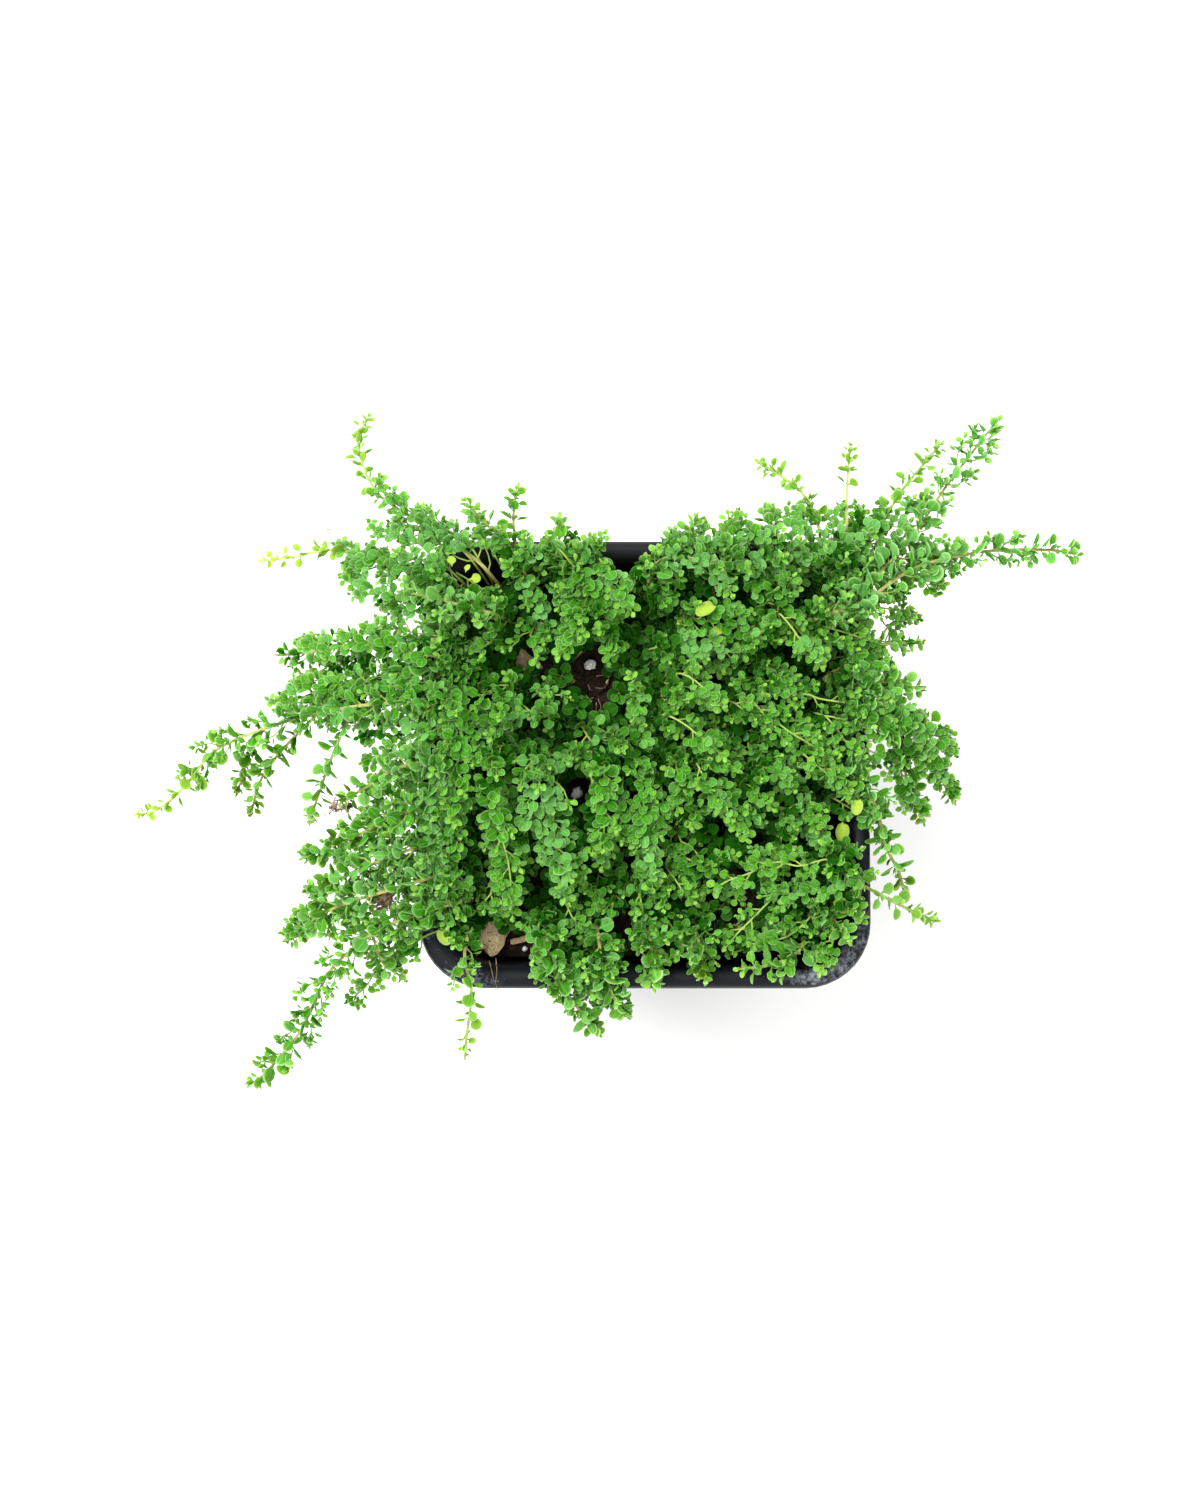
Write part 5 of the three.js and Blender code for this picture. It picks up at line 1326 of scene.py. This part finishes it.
        (92, 86, 1.0, [(41, 1), (47.5, -2), (50.5, -4.5)]),
        (92, 86, 1.0, [(41, -2), (47, -6), (50, -9.5), (53.5, -11)]),
        (91, 84, 1.0, [(41, -6.5), (46.5, -11.5), (50.5, -15), (53.5, -18)]),
        (93, 90, 1.0, [(39.5, 37), (41.5, 42), (47.5, 49), (47.5, 54), (47, 57.5)]),
        (92, 90, 1.0, [(40, 41.5), (43, 49.5), (42.5, 54.5), (44, 57.5)]),
    ],
    "front_rim": [
        (91, 86, 1.0, [(-18.5, -37.5), (-18, -45), (-18, -49.5), (-17.5, -53)]),
        (91, 84, 1.0, [(-16.5, -38), (-16, -46), (-15.5, -50.5), (-13.5, -55.5), (-11.5, -59)]),
        (91, 86, 1.0, [(-10, -38.5), (-10, -46), (-10.5, -50.5), (-10, -53.5)]),
        (91, 84, 0.95, [(-7.5, -38.5), (-7, -46), (-7, -49.5), (-5.5, -52.5), (-4, -55.5)]),
        (91, 88, 1.0, [(-13, -38.5), (-12.5, -46), (-13, -49.5)]),
        (89, 89, 1.0, [(-1, -39.5), (0, -45), (-0.5, -48.5)]),
    ],
}
# The quarter of the pot that a group covers, as the signs of x and y
QUARTERS = {"back_left": (-1, 1), "back_right": (1, 1), "front_left": (-1, -1), "front_right": (1, -1)}
NOT_BARE = (0, 0)
BARE_PALE = 0.25
TONE_OUTWARDS = 0.005
ROW_SPACING = 1.9
LEFT_SPACING = 2.3
LOW_SPACING = 4.4
LOW_EDGE = 40.5
LOW_TONE = 0.4
LOW_LEAN = 66

# A row's leaves turn more bluish the further out and back it lies. Low shoots grow in the quarters alone: a
# group at the rim has no quarter, and its places for them stay empty.
for place_name, rows in ROWS.items():
    patch = Spray(hanging=False)
    spacing = LEFT_SPACING if place_name == "left_rim" else ROW_SPACING
    for crest, tip, scale, route, *share in rows:
        bare = share[0] if share else NOT_BARE
        row = main_stem(crest, tip, route)
        x, y, _ = row.mean(axis=0)
        patch.tone = chance.uniform(0.05, 0.85) + TONE_OUTWARDS * (abs(x) + 0.8 * y - 15)
        patch.add_stem(row, 0.3, 0.22, (0.2, 0), BARE_PALE if share else 0)
        grow_tip(patch, row, scale)
        grow_pairs(patch, row, scale, spacing, tufts=0.3, habit=(*MAT_HABIT[:-1], bare), from_root=8)
        grow_shoots(patch, row, scale, every=3.6, longest=5, dip=0.6)
    side_x, side_y = QUARTERS.get(place_name, (0, 0))
    patch.tone = LOW_TONE
    for x in np.arange(LOW_SPACING / 2, LOW_EDGE, LOW_SPACING) * side_x:
        for y in np.arange(LOW_SPACING / 2, LOW_EDGE, LOW_SPACING) * side_y:
            foot = np.array([x, y]) + chance.uniform(-0.45, 0.45, 2) * LOW_SPACING
            top = foot + chance.normal(0, 1.8, 2)
            ground = soil_height(*foot)
            if not side_x or within(foot, OPEN_PLACES + DIM_HOLLOWS):
                continue
            shoot = smooth_line([(*foot, ground - 2), (*(foot * 0.6 + top * 0.4), ground + 3),
                                 (*top, ground + chance.uniform(5, 9.5))], STEM_STEP)
            patch.add_stem(shoot, 0.35, 0.2, (0.9, 0.6))
            for i in range(3, len(shoot)):
                for way in chance.uniform(0, 2 * math.pi) + np.array([0, math.pi]):
                    # Painted shade: the low leaves get ages of 0.8 to 1, which paints them dark green
                    grow_leaf(patch, shoot, i, way, math.radians(chance.normal(LOW_LEAN, 8)),
                              chance.uniform(2.4, 3.6), chance.uniform(0.8, 1))
    patch.shade()
    finish_piece(patch.mesh("mat_" + place_name), "mat_" + place_name, [leaf_skin, stem_skin])

# ---- Yellowed leaves ----
# Single leaves that have yellowed with age. The larger ones are broad and hollow. They lie loose in the mat
# or are caught at its edge.

YELLOWED_AGE = 0.45
YELLOWED_STRAY = 0.4
BROAD_FROM = 3.3
# The middle, the length, and the way the leaf points in degrees
YELLOWED = [((-44, -38.6, 91), 4.6, -70), ((43.5, -15.6, 90), 4.4, -95), ((13.5, 33, 95.5), 5, 200),
            ((8.5, 31, 91.5), 3.4, 20), ((16.2, 28.6, 93), 3.6, 190), ((-42.7, 43.6, 97), 2.6, 95),
            ((-39.3, 42, 97), 2.1, 70), ((-37.6, 39.8, 97), 2.8, 10), ((43.3, -31.8, 91), 4.4, -60),
            ((44.6, -6.5, 94), 3.4, -40), ((46.8, -10.5, 93.5), 3.8, -110), ((45.6, -8.6, 92.6), 3.4, 20),
            ((57.8, 41, 92), 3.4, 170), ((36.5, 50.5, 93), 3.4, 100), ((-54, -32.5, 88), 3.2, 200)]
yellowed = Spray(hanging=False)
for middle, size, heading in YELLOWED:
    angle = math.radians(heading)
    along = np.array([math.cos(angle), math.sin(angle), 0])
    face = unit(UP + chance.normal(0, YELLOWED_STRAY, 3))
    face = unit(face - face.dot(along) * along)
    turn = np.stack([along, np.cross(face, along), face], axis=1)
    yellowed.add_leaf(BROAD if size > BROAD_FROM else GROWN, np.array(middle) - along * size / 2, turn,
                      np.full(3, size), YELLOWED_AGE, YELLOWED_PALE)
finish_piece(yellowed.mesh("yellowed_leaves"), "yellowed_leaves", [leaf_skin])

# ---- Floor, light and camera ----
# The pot stands on white paper in a bright, soft room, with one large lamp at the back left. They are the
# stage, and no part of the object.

PAPER_SIZE = 6000
PAPER_DROP = 0.5
PAPER_WHITE = "f4f4f2"
ROOM_WHITE = "ffffff"
ROOM_LIGHT = 1.5
LAMP_PLACE = (-800, 500, 1200)
LAMP_SIZE = 800
LAMP_POWER = 32

bpy.ops.mesh.primitive_plane_add(size=PAPER_SIZE * MM, location=(0, 0, -PAPER_DROP * MM))
floor = bpy.context.object
floor.name = "floor"
paper, shader = start_material("white_paper", Roughness=0.9, Base_Color=linear(PAPER_WHITE))
floor.data.materials.append(paper)

world = bpy.data.worlds.new("soft_room")
bpy.context.scene.world = world
world.use_nodes = True
room = world.node_tree.nodes["Background"]
room.inputs["Color"].default_value = linear(ROOM_WHITE)
room.inputs["Strength"].default_value = ROOM_LIGHT

lamp = bpy.data.lights.new("key", "AREA")
lamp.shape, lamp.size, lamp.energy = "SQUARE", LAMP_SIZE * MM, LAMP_POWER
lamp_holder = bpy.data.objects.new("key", lamp)
lamp_holder.location = [reach * MM for reach in LAMP_PLACE]
lamp_holder.rotation_euler = (-lamp_holder.location).to_track_quat("-Z", "Y").to_euler()
bpy.context.scene.collection.objects.link(lamp_holder)

# The photograph looks down on the pot, tilted a little towards its front. Its rim, 100 mm wide, spans 450
# pixels of 1200 by 1500.
RIM_WIDTH = 100
RIM_PIXELS = 450
PHOTO_HEIGHT = 1500
PHOTO_WIDTH = 1200
RIM_CENTRE = (645, 762)
LENS = 70
SENSOR = 36
ELEVATION = math.radians(84)
camera = bpy.data.objects.new("camera", bpy.data.cameras.new("camera"))
camera.data.lens = LENS
camera.data.sensor_width = SENSOR
mm_per_pixel = RIM_WIDTH / RIM_PIXELS
distance = PHOTO_HEIGHT * mm_per_pixel * LENS / SENSOR * MM
aim = Vector((0, 0, POT_HEIGHT * MM))
back = Vector((0, -math.cos(ELEVATION), math.sin(ELEVATION)))
camera.location = aim + back * distance
camera.rotation_euler = (-back).to_track_quat("-Z", "Y").to_euler()
camera.data.shift_x = (PHOTO_WIDTH / 2 - RIM_CENTRE[0]) / PHOTO_HEIGHT
camera.data.shift_y = (RIM_CENTRE[1] - PHOTO_HEIGHT / 2) / PHOTO_HEIGHT
bpy.context.scene.collection.objects.link(camera)
bpy.context.scene.camera = camera
bpy.context.scene.view_settings.view_transform = "Standard"
